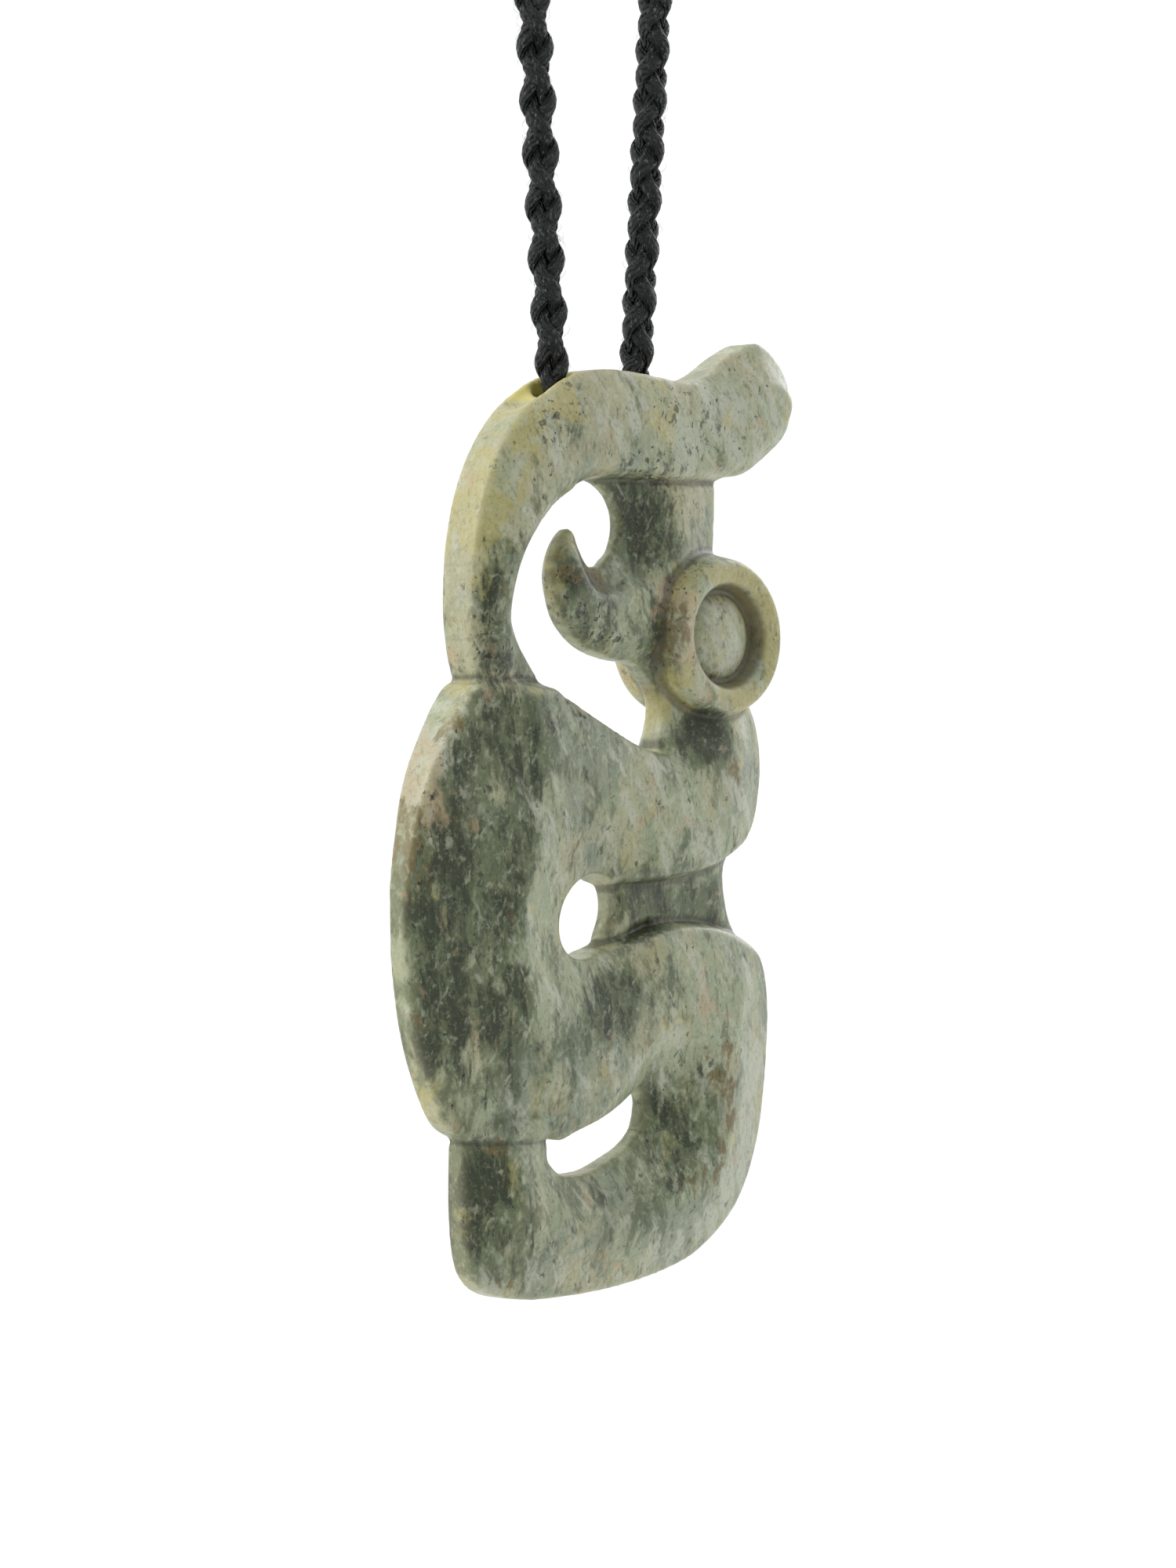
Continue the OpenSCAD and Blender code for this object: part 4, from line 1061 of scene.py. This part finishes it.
def fuzz_piece(name, count):
    """Fine loose fibres: three-sided tubes that rise from the cord and bend over."""
    rng = np.random.default_rng(seed=11)
    _, points, ways = cord_line(1.0)
    at = rng.uniform(FUZZ_ENDS, len(points) - 1 - FUZZ_ENDS, count)

    def sample(rows):
        return np.stack([np.interp(at, np.arange(len(rows)), column) for column in rows.T], 1)

    middle, ahead = sample(points), sample(ways)
    out = outwards(ahead, rng.uniform(0, 2 * math.pi, count))
    side = np.cross(ahead, out)
    lean = ahead * rng.choice([-1, 1], count)[:, None]
    lean = lean + FUZZ_SIDEWAYS * side * rng.uniform(-1, 1, (count, 1))
    length = rng.uniform(*FUZZ_LENGTH, count)[:, None]
    steps = np.linspace(0, 1, 5)
    spine = np.stack([middle + out * (FUZZ_FROM + FUZZ_RISE * length * math.sin(t * FUZZ_BEND))
                      + lean * length * t for t in steps], 1)
    thick = FUZZ_R * (1.15 - steps)[None, :, None, None]
    ring = np.stack([math.cos(a) * side + math.sin(a) * out for a in (0, 2.1, 4.2)], 1)[:, None]
    tube = (spine[:, :, None] + thick * ring).reshape(-1, 3)
    faces = tube_faces(count, len(steps), 3)
    return mesh_object(name, in_frame(tube, TUNNEL_Z), faces, {"around": np.zeros(len(tube))})


def dress(obj, material):
    """Gives an object one material in place of what it had."""
    obj.data.materials.clear()
    obj.data.materials.append(material)


stone = build_stone()
dress(stone, greenstone())
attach(stone, "stone")
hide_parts("manaia_pendant")

cord_look = waxed_cord()
cord_pieces = [
    braid_piece("braid_clockwise", 1, (5, 36)),
    braid_piece("braid_counter", -1, (50, 81)),
    fuzz_piece("cord_fuzz", FUZZ_COUNT),
]
for piece in cord_pieces:
    dress(piece, cord_look)
    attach(piece, "cord")
    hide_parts("braided_cord")

dress(bpy.data.objects["cord_clasp"], brushed_steel())


def studio():
    """White surroundings, dim on the camera's side, a pale floor and two soft lamps."""
    scene = bpy.context.scene
    scene.view_settings.view_transform = "Standard"
    s = Shader(bpy.data.worlds.new("studio"), "Background")
    towards = {0: s.node("TexCoord", {})["Generated"], 1: Vector(DIM_SIDE).normalized()}
    dot = s.node("VectorMath", towards, operation="DOT_PRODUCT")["Value"]
    light = s.step(dot, DIM_FROM, DIM_TO, FRONT_LIGHT, SIDE_LIGHT)
    seen = s.node("LightPath", {})["Is Camera Ray"]
    scene.world = s.finish(Strength=s.node("Mix", {0: seen, 2: light, 3: BACKDROP})[0], Color=s.colour)

    turns = np.radians(np.arange(0, 360, 5))
    disc = np.stack([FLOOR_R * np.cos(turns), FLOOR_R * np.sin(turns), np.full(len(turns), FLOOR_Z)], 1)
    floor = mesh_object("floor", disc, np.arange(len(turns))[None], {})
    pale = Shader(bpy.data.materials.new("pale_floor"), shade=(232, 232, 228))
    mottle = pale.noise((0.01, 0.01, 0.01))
    mixed = pale.node("Mix", {0: mottle, 6: pale.colour, 7: srgb(240, 240, 237)}, data_type="RGBA")[2]
    dress(floor, pale.finish(Base_Color=mixed, Roughness=0.6))

    for name, spot, size, power in LAMPS:
        lamp = bpy.data.lights.new(name, "AREA")
        lamp.shape = "DISK"
        lamp.size = size
        lamp.energy = power
        holder = bpy.data.objects.new(name, lamp)
        holder.location = spot
        aim = Vector(LOOK_AT) - Vector(spot)
        holder.rotation_euler = aim.to_track_quat("-Z", "Y").to_euler()
        scene.collection.objects.link(holder)


def camera():
    """The camera stands left of the stone and looks level."""
    made = bpy.data.cameras.new("camera")
    made.lens = LENS
    made.sensor_width = SENSOR
    made.clip_start = NEAR_CLIP
    holder = bpy.data.objects.new("camera", made)
    holder.location = CAMERA_AT
    holder.rotation_euler = Vector(VIEW_ALONG).to_track_quat("-Z", "Y").to_euler()
    bpy.context.scene.collection.objects.link(holder)
    bpy.context.scene.camera = holder


studio()
camera()
